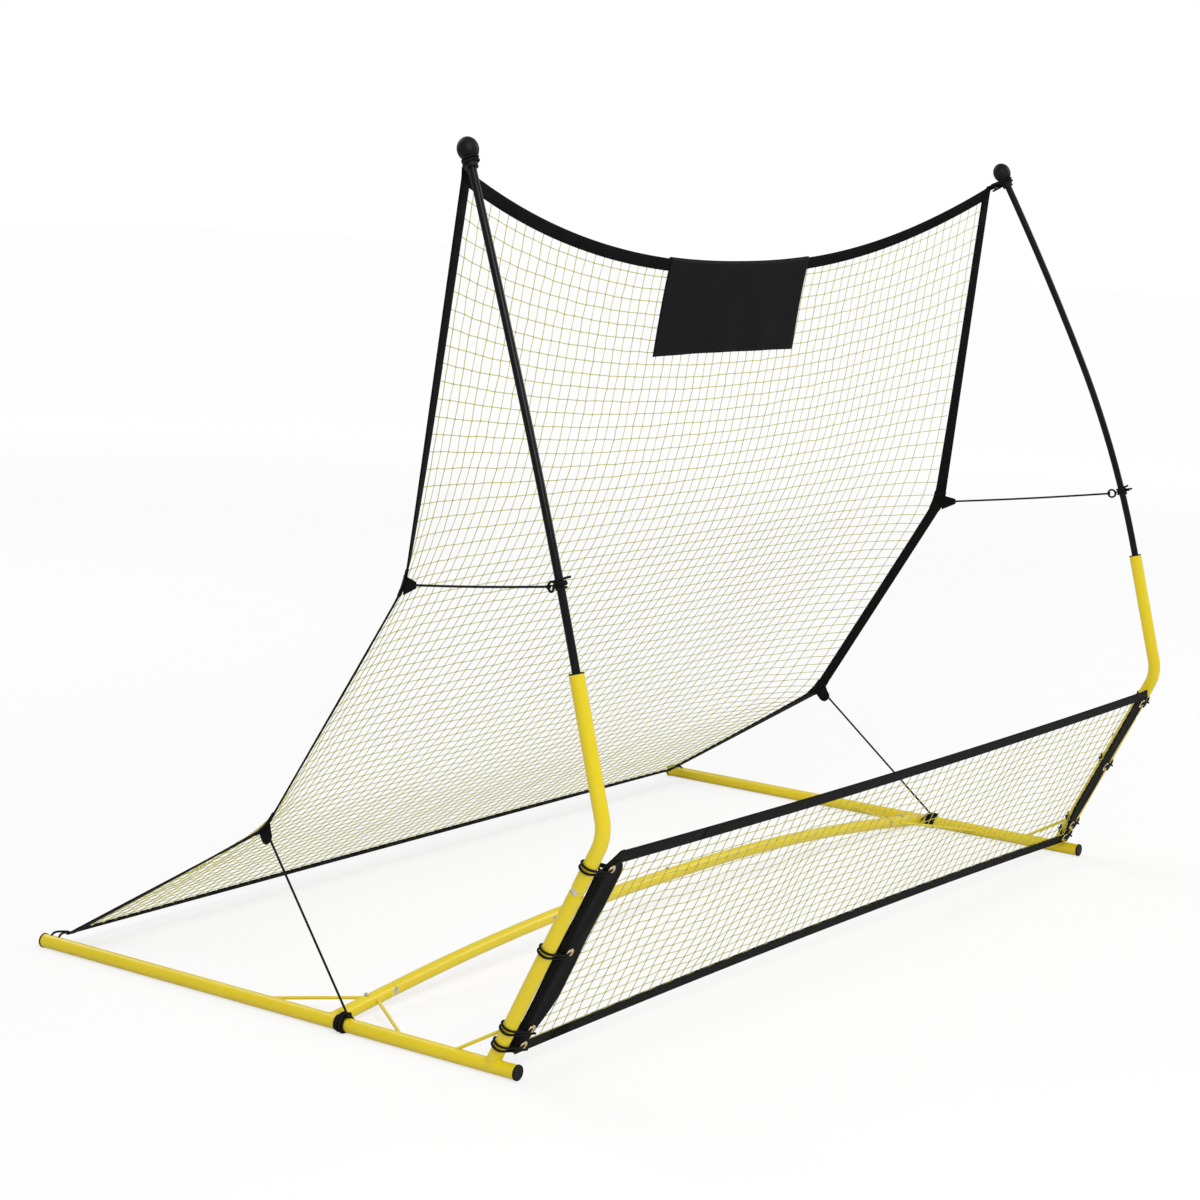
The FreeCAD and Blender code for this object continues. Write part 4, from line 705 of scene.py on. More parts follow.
def finish_frame():
    plain = {
        "foot_tube": yellow_paint, "crossbar_stub": yellow_paint, "upright_stub": yellow_paint,
        "brace_rods": yellow_paint, "pole": black_rod, "pole_bush": black_plastic,
        "tip_ball": black_plastic, "crossbar_button": bare_steel, "upright_button": bare_steel,
    }
    finishes = {
        "front_foot_caps": black_plastic, "rear_foot_caps": black_plastic,
        "centre_crossbar_button": bare_steel, "snap_springs": bare_steel, "front_net_eyelets": brass,
    }
    for side, sign in SIDES:
        for part, material in plain.items():
            finishes["%s_%s" % (side, part)] = material
        # Each end's last direction is the side where its bare neck shows, a painted glint.
        finishes["crossbar_%s_tube" % side] = paint(
            "Yellow %s crossbar" % side, (crossbar_shoulder(sign), -crossbar_direction(sign), -Y_DIR))
        finishes[side + "_upright_tube"] = paint(
            "Yellow %s upright" % side, (upright_shoulder(sign), -stub_direction, X_DIR * sign))
    for name, material in finishes.items():
        nodes[name].data.materials.clear()
        nodes[name].data.materials.append(material)


# The large net: twine strands down and across, with a knot at each crossing

TWINE = 0.00075
KNOT_LENGTH = 0.0034
KNOT_SWELL = 1.6
COLUMNS = 65
PANEL_ROWS = (23, 23, 21)
FRONT_COLUMNS = 64
FRONT_ROWS = 20


def wandering(spot, amount, seed):
    """A small steady shift, so that no two meshes of a net are quite alike."""
    where = spot * 23 + Vector((seed, 0, 0))
    return noise.noise_vector(where) * amount


def net_knot(column, panel, row):
    across = -1 + 2 * (column + 0.5) / COLUMNS
    inside = (row + 0.5) / PANEL_ROWS[panel]
    share = side_knots[panel] + (side_knots[panel + 1] - side_knots[panel]) * inside
    spot = net_point(across, share)
    zigzag = 0.0006 if (column + row) % 2 else -0.0006
    free = min(1.0, (1 - abs(across)) * 12, share * 24, (1 - share) * 24) ** 2
    return spot + X_DIR * zigzag + wandering(spot, 0.0020 * free, 5)


def make_mesh(name, knots, first, last, runs, replaced):
    """Twine along each column from the first row to the last, along the rows in runs, and a knot at each crossing."""
    strands = [(column[first:last + 1], 1.0) for column in knots]
    for row in runs:
        strands.append(([column[row] for column in knots], 1.0))
        for column in knots:
            above, below = column[max(0, row - 1)], column[min(len(column) - 1, row + 1)]
            half = (below - above).normalized() * (KNOT_LENGTH / 2)
            strands.append(([column[row] - half, column[row] + half], KNOT_SWELL))
    finished(name, tubes(name, strands, TWINE), twine, "cream_net", replaced)


def make_net():
    rows = [(panel, row) for panel, count in enumerate(PANEL_ROWS) for row in range(count)]
    knots = [[net_knot(column, *row) for row in rows] for column in range(COLUMNS)]
    first = 0
    for name, count in zip(("upper", "middle", "lower"), PANEL_ROWS):
        last = min(first + count, len(rows) - 1)
        make_mesh(name + "_net", knots, first, last, range(first, first + count), name + "_net_panel")
        first += count


# Webbing folded over the net's edges

def band_profile(width, thick):
    """The folded strip's section: X is inwards from the fold, Y through its thickness."""
    half = thick / 2
    outer = [(width, half * 0.30), (width, half * 0.80), (width - 0.0012, half), (0.0030, half),
             (0.0008, half * 0.66), (0.0, 0.0)]
    inner = [(width * 0.7, -half * 0.22), (width * 0.7, half * 0.22)]
    return outer + [(x, -y) for x, y in outer[-2::-1]] + inner


def narrowed(place, share):
    """A section's placement with the section's width brought down to a share."""
    return place @ Matrix.Diagonal((share, 1, 1, 1))


def make_net_bands():
    profile = band_profile(BAND_WIDTH, BAND_THICK)
    steps = 170
    for side, sign in SIDES:
        points = [net_point(sign, index / steps) for index in range(steps + 1)]
        frames = frames_along(points, lambda index: net_point(sign * 0.97, index / steps) - points[index])
        frames[0] = narrowed(frames[0], 0.1)
        mesh = swept("net_%s_edge" % side, profile, frames)
        finished("net_%s_edge" % side, mesh, webbing, "black_webbing", "net_%s_band" % side)
    spots = [2 * index / steps - 1 for index in range(steps + 1)]
    points = [net_point(across, 0) for across in spots]
    frames = frames_along(points, lambda index: net_point(spots[index], 0.02) - points[index])
    frames[0], frames[-1] = narrowed(frames[0], 0.1), narrowed(frames[-1], 0.1)
    mesh = swept("net_top_edge", band_profile(BAND_WIDTH - 0.002, BAND_THICK + 0.0005), frames)
    finished("net_top_edge", mesh, webbing, "black_webbing", "net_top_band")
    inside = 1 - BAND_WIDTH / NET_HALVES[3]
    spots = [inside * (2 * index / steps - 1) for index in range(steps + 1)]
    points = [net_point(across, 1) for across in spots]
    frames = frames_along(points, lambda index: net_point(spots[index], 0.98) - points[index])
    mesh = swept("net_hem", band_profile(HEM_WIDTH, BAND_THICK), frames)
    finished("net_hem", mesh, webbing, "black_webbing", "net_bottom_band")


def make_corner_straps():
    """A short strap from each top corner of the net to the pole's tip, turned round the pole."""
    centre, direction = path_end(pole_place(LEFT), pole_path)
    neck = centre - direction * 0.021
    corner = net_point(-1, 0)
    around = facing(neck, direction, corner - neck)
    reach = POLE_RADIUS + 0.0042
    route = [net_point(-0.975, 0.010), corner.lerp(net_point(-0.985, 0.004), 0.5)]
    route += [around @ Vector((reach * cos(angle) * (1.25 if angle == 40 else 1), reach * sin(angle), 0))
              for angle in (40, 90, 135, 180, 225, 270, 320)]
    for side, sign in SIDES:
        points = on_side(sign, route)
        middle = on_side(sign, [direction])[0]
        frames = frames_along(points, lambda index: middle)
        shares = [1.0, 0.9, 0.7] + [0.6] * 6
        frames = [narrowed(place @ Matrix.Translation((-0.006 * share, 0, 0)), share)
                  for place, share in zip(frames, shares)]
        profile = [(0.0, 0.0011), (0.0, -0.0011), (0.012, -0.0011), (0.012, 0.0011)]
        mesh = swept("%s_corner_strap" % side, profile, frames)
        finished("%s_corner_strap" % side, mesh, webbing, "black_webbing")


def make_banner():
    """A hanging cloth, folded over the top band, with a turned hem and a few slack waves."""
    wide, long = 60, 30
    tuck = 0.016
    rise = (NET_HALVES[0] ** 2 + TOP_SAG ** 2) / (2 * TOP_SAG)
    along = (net_point(0, 0.1) - net_point(0, 0)).normalized()
    face_out = X_DIR.cross(-along)
    bm = bmesh.new()
    bmesh.ops.create_grid(bm, x_segments=wide, y_segments=long, size=1, calc_uvs=True)
    uv = bm.loops.layers.uv.verify()
    gap = BAND_THICK / 2 + 0.0009
    drop = BANNER_DROP + tuck + gap * math.pi
    for vert in bm.verts:
        x = vert.co.x * BANNER_HALF
        down = (1 - vert.co.y) / 2 * drop
        across = x / NET_HALVES[0]
        top = net_point(across, 0)
        front = max(0.0, down - tuck - gap * math.pi)
        if down < tuck:
            spot = top + along * (tuck - down) - face_out * gap
        elif front == 0.0:
            angle = (down - tuck) / gap
            spot = top - along * (gap * math.sin(angle)) - face_out * (gap * math.cos(angle))
        else:
            share = front / BANNER_DROP
            slack = 0.0030 + 0.0016 * math.sin(x * 16 + 0.6) + 0.0007 * math.sin(x * 47 + 1 + share * 2)
            level = share * (rise - math.sqrt(rise ** 2 - x ** 2))
            panel = (net_point(across, side_knots[1]) - top).length
            below = net_point(across, side_knots[1] * (front + level) / panel)
            spot = below + face_out * (gap + share * slack)
        vert.co = spot
    for face in bm.faces:
        for loop in face.loops:
            u, v = loop[uv].uv
            loop[uv].uv = (u * 2 * BANNER_HALF, v * drop)
    piece = finished("banner_cloth", mesh_of("banner_cloth", bm), banner_cloth, "dark_panel", "banner")
    solid = piece.modifiers.new("Cloth", "SOLIDIFY")
    solid.thickness = 0.0007
    solid.offset = 0


# Small front net

def front_wave(x, up):
    """The small net isn't pulled flat: it stands a few millimetres in and out."""
    middle = math.sin(math.pi * (up - FRONT_LOW) / (FRONT_HIGH - FRONT_LOW))
    return middle * (0.004 * math.sin(x * 9.0) + 0.002 * math.sin(x * 23.0 + up * 15))


def make_front_net():
    half = FRONT_HALF - 0.024
    low, high = FRONT_LOW + 0.004, FRONT_HIGH - 0.004

    def knot(column, row):
        x = half * (2 * column / (FRONT_COLUMNS - 1) - 1)
        up = high - (high - low) * row / (FRONT_ROWS - 1)
        free = min(1.0, (1 - abs(x) / half) * 10, (up - low) * 16, (high - up) * 16) ** 2
        spot = front_point(x, waisted(x, up), free * front_wave(x, up))
        zigzag = 0.0010 if (column + row) % 2 else -0.0010
        return spot + stub_direction * zigzag + wandering(spot, 0.0016 * free, 11)

    knots = [[knot(column, row) for row in range(FRONT_ROWS)] for column in range(FRONT_COLUMNS)]
    make_mesh("front_net", knots, 0, FRONT_ROWS - 1, range(FRONT_ROWS), "front_net_mesh")


def make_front_bands():
    profile = band_profile(BAND_WIDTH, BAND_THICK)
    steps = 150
    for name, replaced, reach, up, inwards in (
        ("front_net_top_edge", "front_net_top_band", FRONT_CORNER, FRONT_HIGH, -stub_direction),
        ("front_net_bottom_edge", "front_net_bottom_band", FRONT_HALF - 0.002, FRONT_LOW, stub_direction),
    ):
        spots = [reach * (2 * index / steps - 1) for index in range(steps + 1)]
        points = [front_point(x, waisted(x, up)) for x in spots]
        mesh = swept(name, profile, frames_along(points, lambda index: inwards))
        finished(name, mesh, webbing, "black_webbing", replaced)


def curled_back(x):
    """How far a side panel's outer edge turns back beside the upright."""
    share = max(0.0, x - FRONT_HALF + 0.003) / (PANEL_CURL + 0.003)
    return 0.008 * share * share


def make_washers():
    """Flat brass rings under the small net's eyelets, on the front of its side panels."""
    rings = []
    for side, sign in SIDES:
        for height in TIE_HEIGHTS:
            centre = front_point(sign * (FRONT_HALF - EYELET_INSET), height, 0.0028)
            ring = [centre + X_DIR * (0.0088 * cos(15 * step)) + stub_direction * (0.0088 * sin(15 * step))
                    for step in range(25)]
            rings.append((ring, 1.0))
    finished("front_net_washers", tubes("front_net_washers", rings, 0.0014, sides=1), brass, "brass")


def make_side_panels():
    """Cloth panels at the small net's ends, round at the top and narrowing to the lower outer corner."""
    middle = front_point(0, 0)
    inner = FRONT_HALF - SIDE_PANEL_WIDTH
    top_radius = (SIDE_PANEL_WIDTH + PANEL_CURL) / 2
    centre = FRONT_HALF + PANEL_CURL - top_radius
    outline = [(FRONT_HALF + PANEL_CURL, FRONT_LOW + 0.004)]
    for step in range(13):
        angle = 180 * step / 12
        outline.append((centre + top_radius * cos(angle), SIDE_PANEL_HIGH - top_radius + top_radius * sin(angle)))
    for step in range(9):
        share = step / 8
        narrow = 0.5 - 0.5 * math.cos(math.pi * share)
        outline.append((inner + 0.033 * narrow, 0.150 - 0.122 * share + 0.004 * share))
    holes = [(FRONT_HALF - EYELET_INSET, height) for height in TIE_HEIGHTS]
    for side, sign in SIDES:
        place = facing(middle, -stub_rear, X_DIR)
        mesh = cut_cloth("front_%s_panel" % side, place, outline, holes, 0.0054, PANEL_THICK, sign,
                         lambda x, y: 0.0008 * math.sin(y * 31 + 2 * x * 60) - curled_back(x),
                         creases=[(X_DIR * sign, x) for x in (0.980, 0.996, 1.012, 1.016, 1.020)]
                         + [(Y_DIR, 0.045 + 0.024 * step) for step in range(15)])
        piece = finished("front_%s_panel" % side, mesh, panel_cloth, "black_webbing",
                         "%s_front_net_side_panel" % side)
        strap = [(0.984, FRONT_HIGH), (FRONT_CORNER, FRONT_HIGH), (1.008, 0.4345), (STRAP_HALF, 0.423),
                 (STRAP_HALF, STRAP_LOW), (1.014, STRAP_LOW), (1.005, 0.4265), (0.996, 0.4285), (0.984, 0.4285)]
        mesh = cut_cloth("front_%s_strap" % side, place, strap, [], 0, 0.0038, sign)
        finished("front_%s_strap" % side, mesh, panel_cloth, "black_webbing")


def cut_cloth(name, place, outline, holes, hole_radius, thick, sign=1, wave=None, creases=()):
    """A flat piece of cloth with round holes, its edges rounded over. UV is in metres."""
    curve = bpy.data.curves.new(name, "CURVE")
    curve.dimensions = "2D"
    curve.fill_mode = "BOTH"
    curve.bevel_depth = thick * 0.4
    curve.bevel_resolution = 2
    curve.extrude = thick * 0.1
    rings = [[(x * sign, y) for x, y in outline]]
    for x, y in holes:
        reach = hole_radius + curve.bevel_depth
        rings.append([(x * sign + reach * cos(20 * step), y + reach * sin(20 * step)) for step in range(18)])
    for index, ring in enumerate(rings):
        spline = curve.splines.new("POLY")
        spline.points.add(len(ring) - 1)
        for point, (x, y) in zip(spline.points, ring):
            point.co = (x, y, 0, 1)
        spline.use_cyclic_u = True
    curve.offset = -curve.bevel_depth
    holder = bpy.data.objects.new(name, curve)
    mesh = bpy.data.meshes.new_from_object(holder)
    bpy.data.objects.remove(holder)
    bpy.data.curves.remove(curve)
    bm = bmesh.new()
    bm.from_mesh(mesh)
    bpy.data.meshes.remove(mesh)
    bmesh.ops.remove_doubles(bm, verts=bm.verts, dist=1e-5)
    for direction, reach in creases:
        bmesh.ops.bisect_plane(bm, geom=bm.verts[:] + bm.edges[:] + bm.faces[:], dist=1e-6,
                               plane_co=direction * reach, plane_no=direction)
    uv = bm.loops.layers.uv.verify()
    for face in bm.faces:
        for loop in face.loops:
            loop[uv].uv = loop.vert.co.xy
    for vert in bm.verts:
        if wave:
            vert.co.z += wave(abs(vert.co.x), vert.co.y)
    bmesh.ops.transform(bm, matrix=place, verts=bm.verts)
    return mesh_of(name, bm, smooth=False)


# Sewn tabs at the net's folds, and the cords that hold the nets

def on_side(sign, points):
    """A route drawn for the left side, mirrored for the right side."""
    return [Vector((-sign * point.x, point.y, point.z)) for point in points]


def turn_corners(place, radius, first_angle, sweep, climb, uneven=0.0):
    """Corners that wrap a circle about a placement's Z, climbing along it."""
    count = max(1, math.ceil(abs(sweep) / 50))
    step = sweep / count
    corners = []
    for index in range(count):
        angle = first_angle + (index + 0.5) * step
        reach = radius / cos(step / 2)
        height = climb * (index + 0.5) / count + uneven * math.sin(index * 2.4)
        corners.append(place @ Vector((reach * cos(angle), reach * sin(angle), height)))
    return corners


def wound_route(place, radius, first_angle, sweep, climb, tails, uneven=0.0):
    """A wrap round a placement's Z whose two tails leave it along its tangents."""
    points = turn_corners(place, radius, first_angle, sweep, climb, uneven)
    slope = climb / (radius * math.radians(sweep))
    ends = []
    for angle, way, height, tail in ((first_angle, -1, 0, tails[0]), (first_angle + sweep, 1, climb, tails[1])):
        x = radius * cos(angle) - way * tail * sin(angle)
        y = radius * sin(angle) + way * tail * cos(angle)
        ends.append(place @ Vector((x, y, height + way * slope * tail)))
    return [ends[0]] + points + [ends[1]]


def knot_route(spot, along, size, tail):
    """An overhand knot with two short tails."""
    across = along.orthogonal().normalized()
    other = along.cross(across)
    points = [spot - across * (size + tail) - other * size * 0.4]
    for step in range(13):
        t = math.radians(110 + 600 * step / 12)
        x = size * (math.sin(t) + 1.6 * math.sin(2 * t)) / 2.2
        y = size * (math.cos(t) - 1.6 * math.cos(2 * t)) / 2.2
        z = -size * math.sin(3 * t) * 0.5
        points.append(spot + across * x + other * y + along * z)
    points.append(spot + across * (size + tail) + other * size * 0.7)
    return points


def edge_spot(index):
    """A fold of the net's left edge, in the middle of its band."""
    place, height = NET_LINE[index]
    return at(BAND_WIDTH / 2 - NET_HALVES[index], place, height)


def panel_up(index):
    run = side_points[index] - side_points[index + 1]
    return Vector((0, run.x, run.y)).normalized()


def make_tab(name, index, target, base, tip, length, square, shift=0.0):
    """A sewn tab on each side: it stands on the band's fold and points at its cord's far end."""
    start = net_point(-1, side_knots[index]) + X_DIR * 0.004
    along_edge = panel_up(index - 1) + panel_up(index)
    pull = (target - start).normalized()
    across = (along_edge - pull * along_edge.dot(pull)).normalized()
    half = base / 2
    outline = [(-half, -0.004), (half, -0.004)]
    for step in range(11):
        angle = 180 * step / 10
        round_end = tip / 2 * square
        side = tip / 2 * math.copysign(abs(cos(angle)) ** 0.8, cos(angle))
        outline.append((side - shift, length - round_end + round_end * sin(angle)))
    for side, sign in SIDES:
        x_axis, y_axis = on_side(sign, [across, pull])
        place = facing(on_side(sign, [start])[0], x_axis.cross(y_axis), x_axis)
        mesh = cut_cloth("%s_%s_tab" % (side, name), place, outline, [], 0, 0.0042, 1,
                         lambda x, y: 0.0010 * math.sin(y * 120))
        finished("%s_%s_tab" % (side, name), mesh, panel_cloth, "black_webbing", "%s_%s_patch" % (side, name))
        share, reach = side_knots[index], 0.0135
        steps = 10
        shares = [share + reach * (2 * step / steps - 1) for step in range(steps + 1)]
        points = [net_point(sign, value) + X_DIR * (sign * 0.0008) for value in shares]
        frames = frames_along(points, lambda step: net_point(sign * 0.97, shares[step]) - points[step])
        mesh = swept("%s_%s_patch_cloth" % (side, name), band_profile(BAND_WIDTH + 0.002, 0.0060), frames)
        finished("%s_%s_patch_cloth" % (side, name), mesh, panel_cloth, "black_webbing")
    return start + pull * (length - 0.003)


def both_sides(name, route, replaced, knot=None, exit_last=False):
    """A cord on each side, from a route drawn for the left, with any knot that is tied in it."""
    for side, sign in SIDES:
        if knot:
            cord_piece("%s_%s_knot" % (side, name), on_side(sign, knot), black_cord, declared=False)
        cord_piece("%s_%s_line" % (side, name), on_side(sign, route), black_cord,
                   replaced=["%s_%s" % (side, node_name) for node_name in replaced])


TURN = 2 * CORD + 0.0006
TIE_SPREAD = 0.0042
EYE_SPREAD = 0.0022


def make_pole_ties():
    path = ((POLE_SEAT + POLE_LEAD, 0), (0.140, POLE_TURNS[0] * 0.140 / POLE_ARC))
    spot, direction = path_end(pole_place(LEFT), path)
    tie = facing(spot, direction, edge_spot(1) - spot)
    wrap_radius = POLE_RADIUS + CORD_GAP + CORD
    climb = 3 * TURN
    low = tie @ Matrix.Translation((0, 0, -climb / 2))
    wrap = wound_route(low, wrap_radius, 150, 1080, climb, (0.010, 0.018))
    loop_radius = 0.008
    reach = wrap_radius + 2 * CORD + loop_radius + 2 * CORD_GAP
    centre = tie @ Vector((reach, 0, 0))
    aim = (edge_spot(1) - centre).normalized()
    rise = TURN * 400 / 360
    normal = tie.to_3x3() @ Y_DIR
    ring = facing(centre - normal * (rise / 2), normal, aim)
    loop = wound_route(ring, loop_radius, -200, 400, rise, (0.001, 0.001))
    cord_end = centre + aim * (loop_radius + CORD + 0.0003)
    tip = make_tab("mid", 1, cord_end, 0.034, 0.013, 0.030, 0.5)
    line = [tip.lerp(cord_end, step / 6) - Z_DIR * (0.0015 * math.sin(math.pi * step / 6)) for step in range(7)]
    both_sides("pole_tie", line, ["pole_tie_cord"])
    both_sides("pole_turns", wrap, ["pole_tie_wrap"],
               knot=knot_route(tie @ Vector((-wrap_radius - 0.003, 0.003, 0)), direction, 0.0058, 0.004))
    both_sides("slip_loop", loop, [], knot=knot_route(cord_end - aim * 0.004, aim, 0.0032, 0.001))


def above_ground(points):
    """A route pressed flat where it would pass below the ground."""
    return [Vector((point.x, point.y, max(point.z, CORD + 0.0003))) for point in points]


def make_foot_ties():
    wrap_radius = TUBE + CORD_GAP + CORD
    turns = 5
    climb = turns * 2 * (CORD + 0.0001)
    start = foot_axis(LEFT, -0.019 - climb)
    middle = start + Y_DIR * (climb / 2)
    wrap = wound_route(facing(start, Y_DIR, Z_DIR), wrap_radius, 20, 360 * turns, climb, (0.014, 0.022))
    wrap = above_ground(wrap)
    away = edge_spot(2) - middle
    away = (away - Y_DIR * away.y).normalized()
    cord_end = middle + away * (wrap_radius + 2 * CORD + 0.0003)
    tip = make_tab("low", 2, cord_end, 0.034, 0.028, 0.027, 1.0, 0.006)
    line = [tip.lerp(cord_end, step / 6) for step in range(7)]
    both_sides("foot_tie", line, ["foot_tie_cord"])
    both_sides("foot_turns", wrap, ["foot_tie_wrap"],
               knot=knot_route(cord_end - away * 0.002, away, 0.0085, 0.004))
    # A second layer of turns, laid over the first.
    over = turn_corners(facing(start + Y_DIR * 0.0015, Y_DIR, Z_DIR), wrap_radius + 2 * CORD - 0.0004, 60, 820,
                        climb * 0.75)
    both_sides("foot_over_turns", above_ground(over), [])


def make_tip_loops():
    wrap_radius = 0.011 + CORD_GAP + CORD
    centre, direction = path_end(pole_place(LEFT), pole_path)
    corner = at(BAND_WIDTH / 2 - NET_HALVES[0], *NET_LINE[0])
    spot = centre - direction * 0.026
    tie = facing(spot, direction, corner - spot)
    reach = (corner - spot).length - 0.008
    climb = TURN * 2
    points = turn_corners(tie, wrap_radius, 60, 600, climb)
    start = tie @ Vector((reach, CORD, -0.002))
    end = tie @ Vector((reach, -CORD, climb + 0.002))
    both_sides("tip_loop", [start] + points + [end], ["tip_loop"],
               knot=knot_route(tie @ Vector((reach - 0.006, 0, climb / 2)), tie.to_3x3() @ X_DIR, 0.0035, 0.001))


def make_rear_loops():
    rear, front = foot_axis(LEFT, FOOT_REAR - 0.015), foot_axis(LEFT, FOOT_REAR - 0.035)
    place, height = NET_LINE[3]
    corner = at(-NET_HALVES[3] + 0.006, place, height + 0.004)
    spread = Y_DIR * 0.003
    inside, outside = Z_DIR * (TUBE - 0.008), Z_DIR * (TUBE + 0.007)
    points = [rear + inside, rear + outside, corner + spread, corner - spread, front + outside, front + inside]
    both_sides("rear_loop", points, ["rear_loop"])


def make_front_ties():
    """Each tie goes round the upright, through its eyelet and round the upright again."""
    wrap_radius = TUBE + CORD_GAP + CORD
    inboard = TRACK_HALF - (FRONT_HALF - EYELET_INSET + 0.0011)
    near, far = (inboard, FRONT_OFFSET - 0.009), (inboard, FRONT_OFFSET + 0.009)
    front_angle = tangent_angle(far, wrap_radius, 1)
    rear_angle = tangent_angle(near, wrap_radius, -1) + 360
    step = (rear_angle - front_angle) / 4
    angles = [front_angle + (index + 0.5) * step for index in range(4)]
    turn = [(wrap_radius / cos(step / 2) * cos(angle), wrap_radius / cos(step / 2) * sin(angle)) for angle in angles]
    for index, height in enumerate(TIE_HEIGHTS):
        spot = upright_foot(LEFT) + stub_direction * height
        points = [past(wrap_radius, front_angle, far, 0.006) + (-EYE_SPREAD,)]
        points += [(x, y, -TIE_SPREAD) for x, y in turn]
        points += [near + (0,), far + (0,)]
        points += [(x, y, TIE_SPREAD) for x, y in turn]
        points += [past(wrap_radius, rear_angle, near, 0.002) + (EYE_SPREAD,)]
        route = [spot + X_DIR * x - stub_rear * y + stub_direction * z for x, y, z in points]
        knot = knot_route(spot + X_DIR * 0.014 - stub_rear * 0.0135, stub_direction, 0.0042, 0.007)
        both_sides("front_tie_%d" % (index + 1), route, ["front_net_ties"] if index == 0 else [], knot=knot)


def past(radius, angle, spot, tail):
    """A tail's end, beyond a spot on the straight run that leaves a wrap at an angle."""
    run = (spot[0] - radius * cos(angle), spot[1] - radius * sin(angle))
    length = math.hypot(*run)
    return spot[0] + run[0] * tail / length, spot[1] + run[1] * tail / length


def tangent_angle(spot, radius, way):
    """Where a taut run from a spot touches a circle about the origin."""
    distance = math.hypot(*spot)
    return math.degrees(math.atan2(spot[1], spot[0]) + way * math.acos(radius / distance))


# Weld beads

def saddle(origin, direction, radius, main_spot, main_direction, main_radius):
    """The line where a thin tube's surface meets a thicker tube's."""
    across = direction.orthogonal().normalized()
    other = direction.cross(across).normalized()
    level = direction - main_direction * direction.dot(main_direction)
    points = []
    for index in range(32):
        angle = 2 * math.pi * index / 32
        spot = origin + across * (radius * math.cos(angle)) + other * (radius * math.sin(angle))
        off = spot - main_spot
        off = off - main_direction * off.dot(main_direction)
        half_b = off.dot(level)
        c = off.dot(off) - main_radius ** 2
        root = math.sqrt(max(0.0, half_b ** 2 - level.dot(level) * c))
        points.append(spot + direction * ((root - half_b) / level.dot(level)))
    return points


def make_welds():
    for side, sign in SIDES:
        foot = foot_axis(sign, 0)
        bar, stub = crossbar_direction(sign), stub_direction
        on_bar = foot + bar * (ROD_STUB / cos(ARCH_ANGLE))
        on_upright = upright_foot(sign) + stub * ROD_UPRIGHT
        rods = (
            (foot_axis(sign, ROD_REAR_FOOT), on_bar, foot, bar),
            (foot_axis(sign, -ROD_FRONT_FOOT), on_bar, foot, bar),
            (foot_axis(sign, -ROD_LOW_FOOT), on_upright, upright_foot(sign), stub),
        )
        joints = [
            (foot, bar, TUBE - 0.0002, foot, Y_DIR, 0.0016),
            (upright_foot(sign), stub, TUBE - 0.0002, upright_foot(sign), Y_DIR, 0.0016),
        ]
        for start, end, post, post_direction in rods:
            along = (end - start).normalized()
            joints.append((start, along, ROD_RADIUS, start, Y_DIR, 0.0010))
            joints.append((end, -along, ROD_RADIUS, post, post_direction, 0.0010))
        strands = []
        for origin, direction, radius, main_spot, main_direction, bead in joints:
            ring = saddle(origin, direction, radius, main_spot, main_direction, TUBE)
            strands.append((ring + ring[:1], bead))
        mesh = tubes("%s_weld_beads" % side, strands, 1.0, sides=3)
        finished("%s_weld_beads" % side, mesh, yellow_paint, "yellow_paint")


# Camera, light and floor

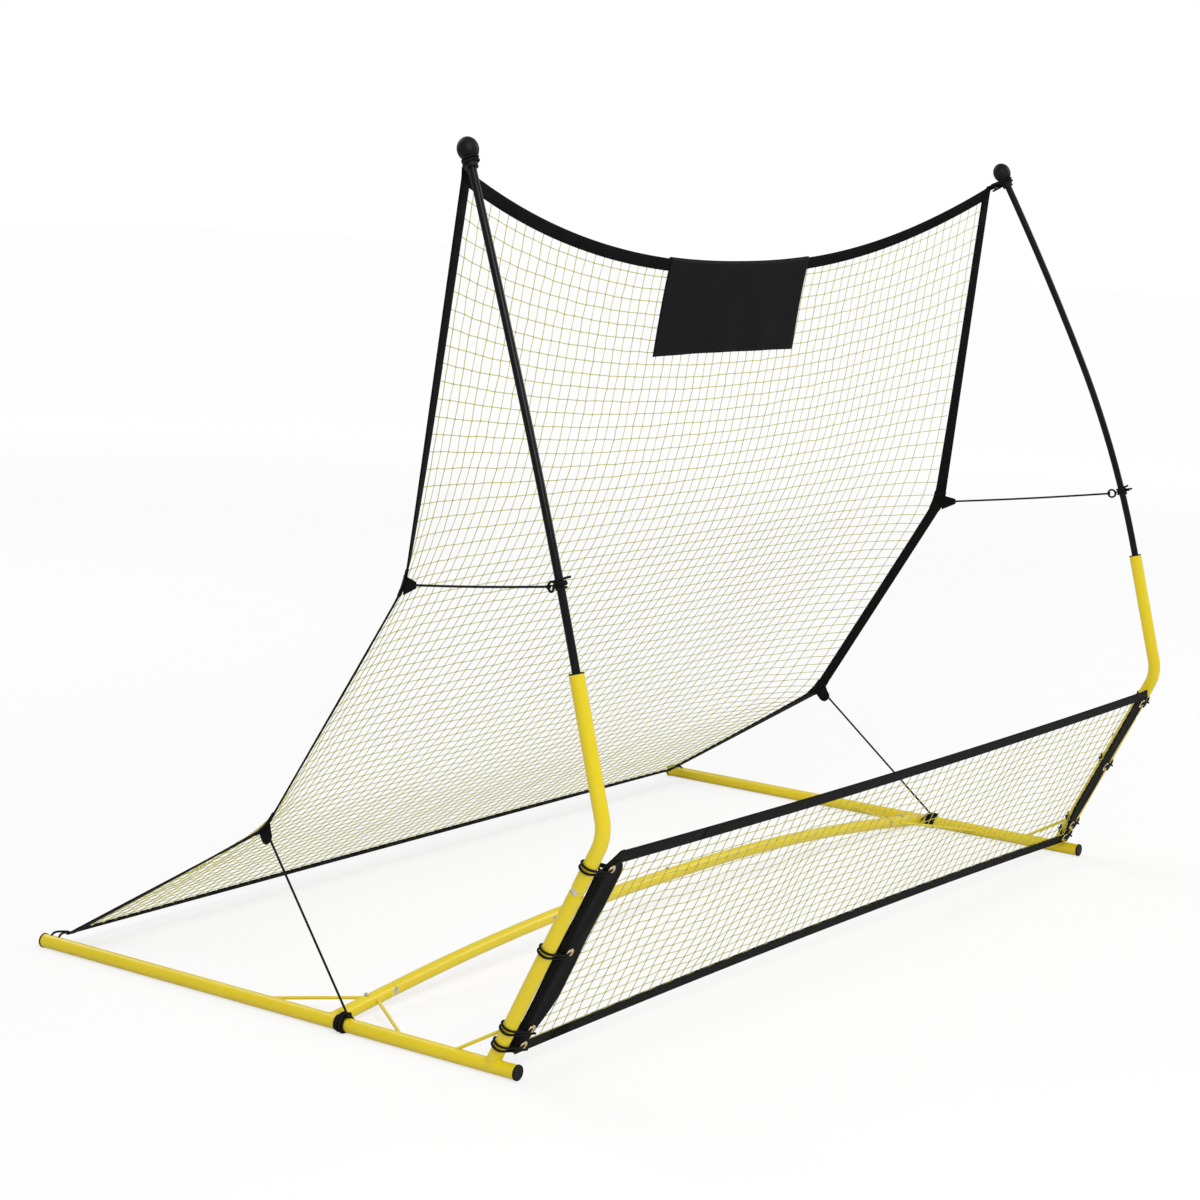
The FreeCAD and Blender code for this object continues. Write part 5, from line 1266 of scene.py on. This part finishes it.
def make_stage():
    camera_data = bpy.data.cameras.new("Camera")
    camera_data.lens = 83.73
    camera_data.sensor_width = 36
    camera_data.clip_end = 60
    camera = bpy.data.objects.new("Camera", camera_data)
    azimuth, elevation, roll = -54.93, 9.06, 2.59
    back = Vector((sin(azimuth) * cos(elevation), -cos(azimuth) * cos(elevation), sin(elevation)))
    level = Z_DIR.cross(back).normalized()
    upward = back.cross(level)
    right = level * cos(roll) + upward * sin(roll)
    up = upward * cos(roll) - level * sin(roll)
    camera.matrix_world = Matrix.Translation(at(-4.5735, -3.0057, 1.5021)) @ \
        Matrix((right, up, back)).transposed().to_4x4()
    bpy.context.scene.collection.objects.link(camera)
    bpy.context.scene.camera = camera

    world = bpy.data.worlds.new("Studio")
    world.use_nodes = True
    tree = world.node_tree
    path = node(tree, "ShaderNodeLightPath").outputs
    seen = path["Is Camera Ray"]
    background = tree.nodes["Background"]
    background.inputs["Color"].default_value = (1, 1, 1, 1)
    tree.links.new(math_node(tree, "MULTIPLY_ADD", seen, 0.50, 0.50), background.inputs["Strength"])
    bpy.context.scene.world = world

    for name, spot, size, power in (
        ("Key", (-3.2, -3.6, 4.6), 3.0, 190),
        ("Fill", (3.8, -2.6, 3.2), 3.0, 70),
        ("Back", (0.5, 4.0, 3.8), 3.0, 60),
    ):
        lamp = bpy.data.lights.new(name, "AREA")
        lamp.size = size
        lamp.energy = power
        holder = bpy.data.objects.new(name, lamp)
        holder.matrix_world = facing(Vector(spot), Vector(spot) - Vector((0, 0, 0.5)), X_DIR)
        bpy.context.scene.collection.objects.link(holder)

    bm = bmesh.new()
    bmesh.ops.create_grid(bm, x_segments=1, y_segments=1, size=30)
    floor = bpy.data.objects.new("floor", mesh_of("floor", bm))
    bpy.context.scene.collection.objects.link(floor)
    material = bpy.data.materials.new("Pale floor")
    material.use_nodes = True
    tree = material.node_tree
    tree.nodes.remove(tree.nodes["Principled BSDF"])
    seen = node(tree, "ShaderNodeLightPath").outputs["Is Camera Ray"]
    matte = node(tree, "ShaderNodeBsdfDiffuse", {"Color": math_node(tree, "MULTIPLY_ADD", seen, -0.5, 0.8)})
    place = node(tree, "ShaderNodeTexCoord").outputs["Object"]
    away = node(tree, "ShaderNodeVectorMath", {0: place}, operation="LENGTH").outputs["Value"]
    far = node(tree, "ShaderNodeMapRange", {0: away, 1: 2.0, 2: 9.0, 3: 0.68, 4: 0.836}).outputs[0]
    glow = node(tree, "ShaderNodeEmission", {"Color": (1, 1, 1, 1), "Strength": math_node(tree, "MULTIPLY", seen, far)})
    both = node(tree, "ShaderNodeAddShader", {0: matte.outputs[0], 1: glow.outputs[0]})
    output = next(item for item in tree.nodes if item.type == "OUTPUT_MATERIAL")
    tree.links.new(both.outputs[0], output.inputs["Surface"])
    floor.data.materials.append(material)
    bpy.context.scene.view_settings.view_transform = "Standard"


finish_frame()
make_net()
make_net_bands()
make_corner_straps()
make_banner()
make_front_net()
make_front_bands()
make_side_panels()
make_washers()
make_pole_ties()
make_foot_ties()
make_tip_loops()
make_rear_loops()
make_front_ties()
make_welds()
make_stage()
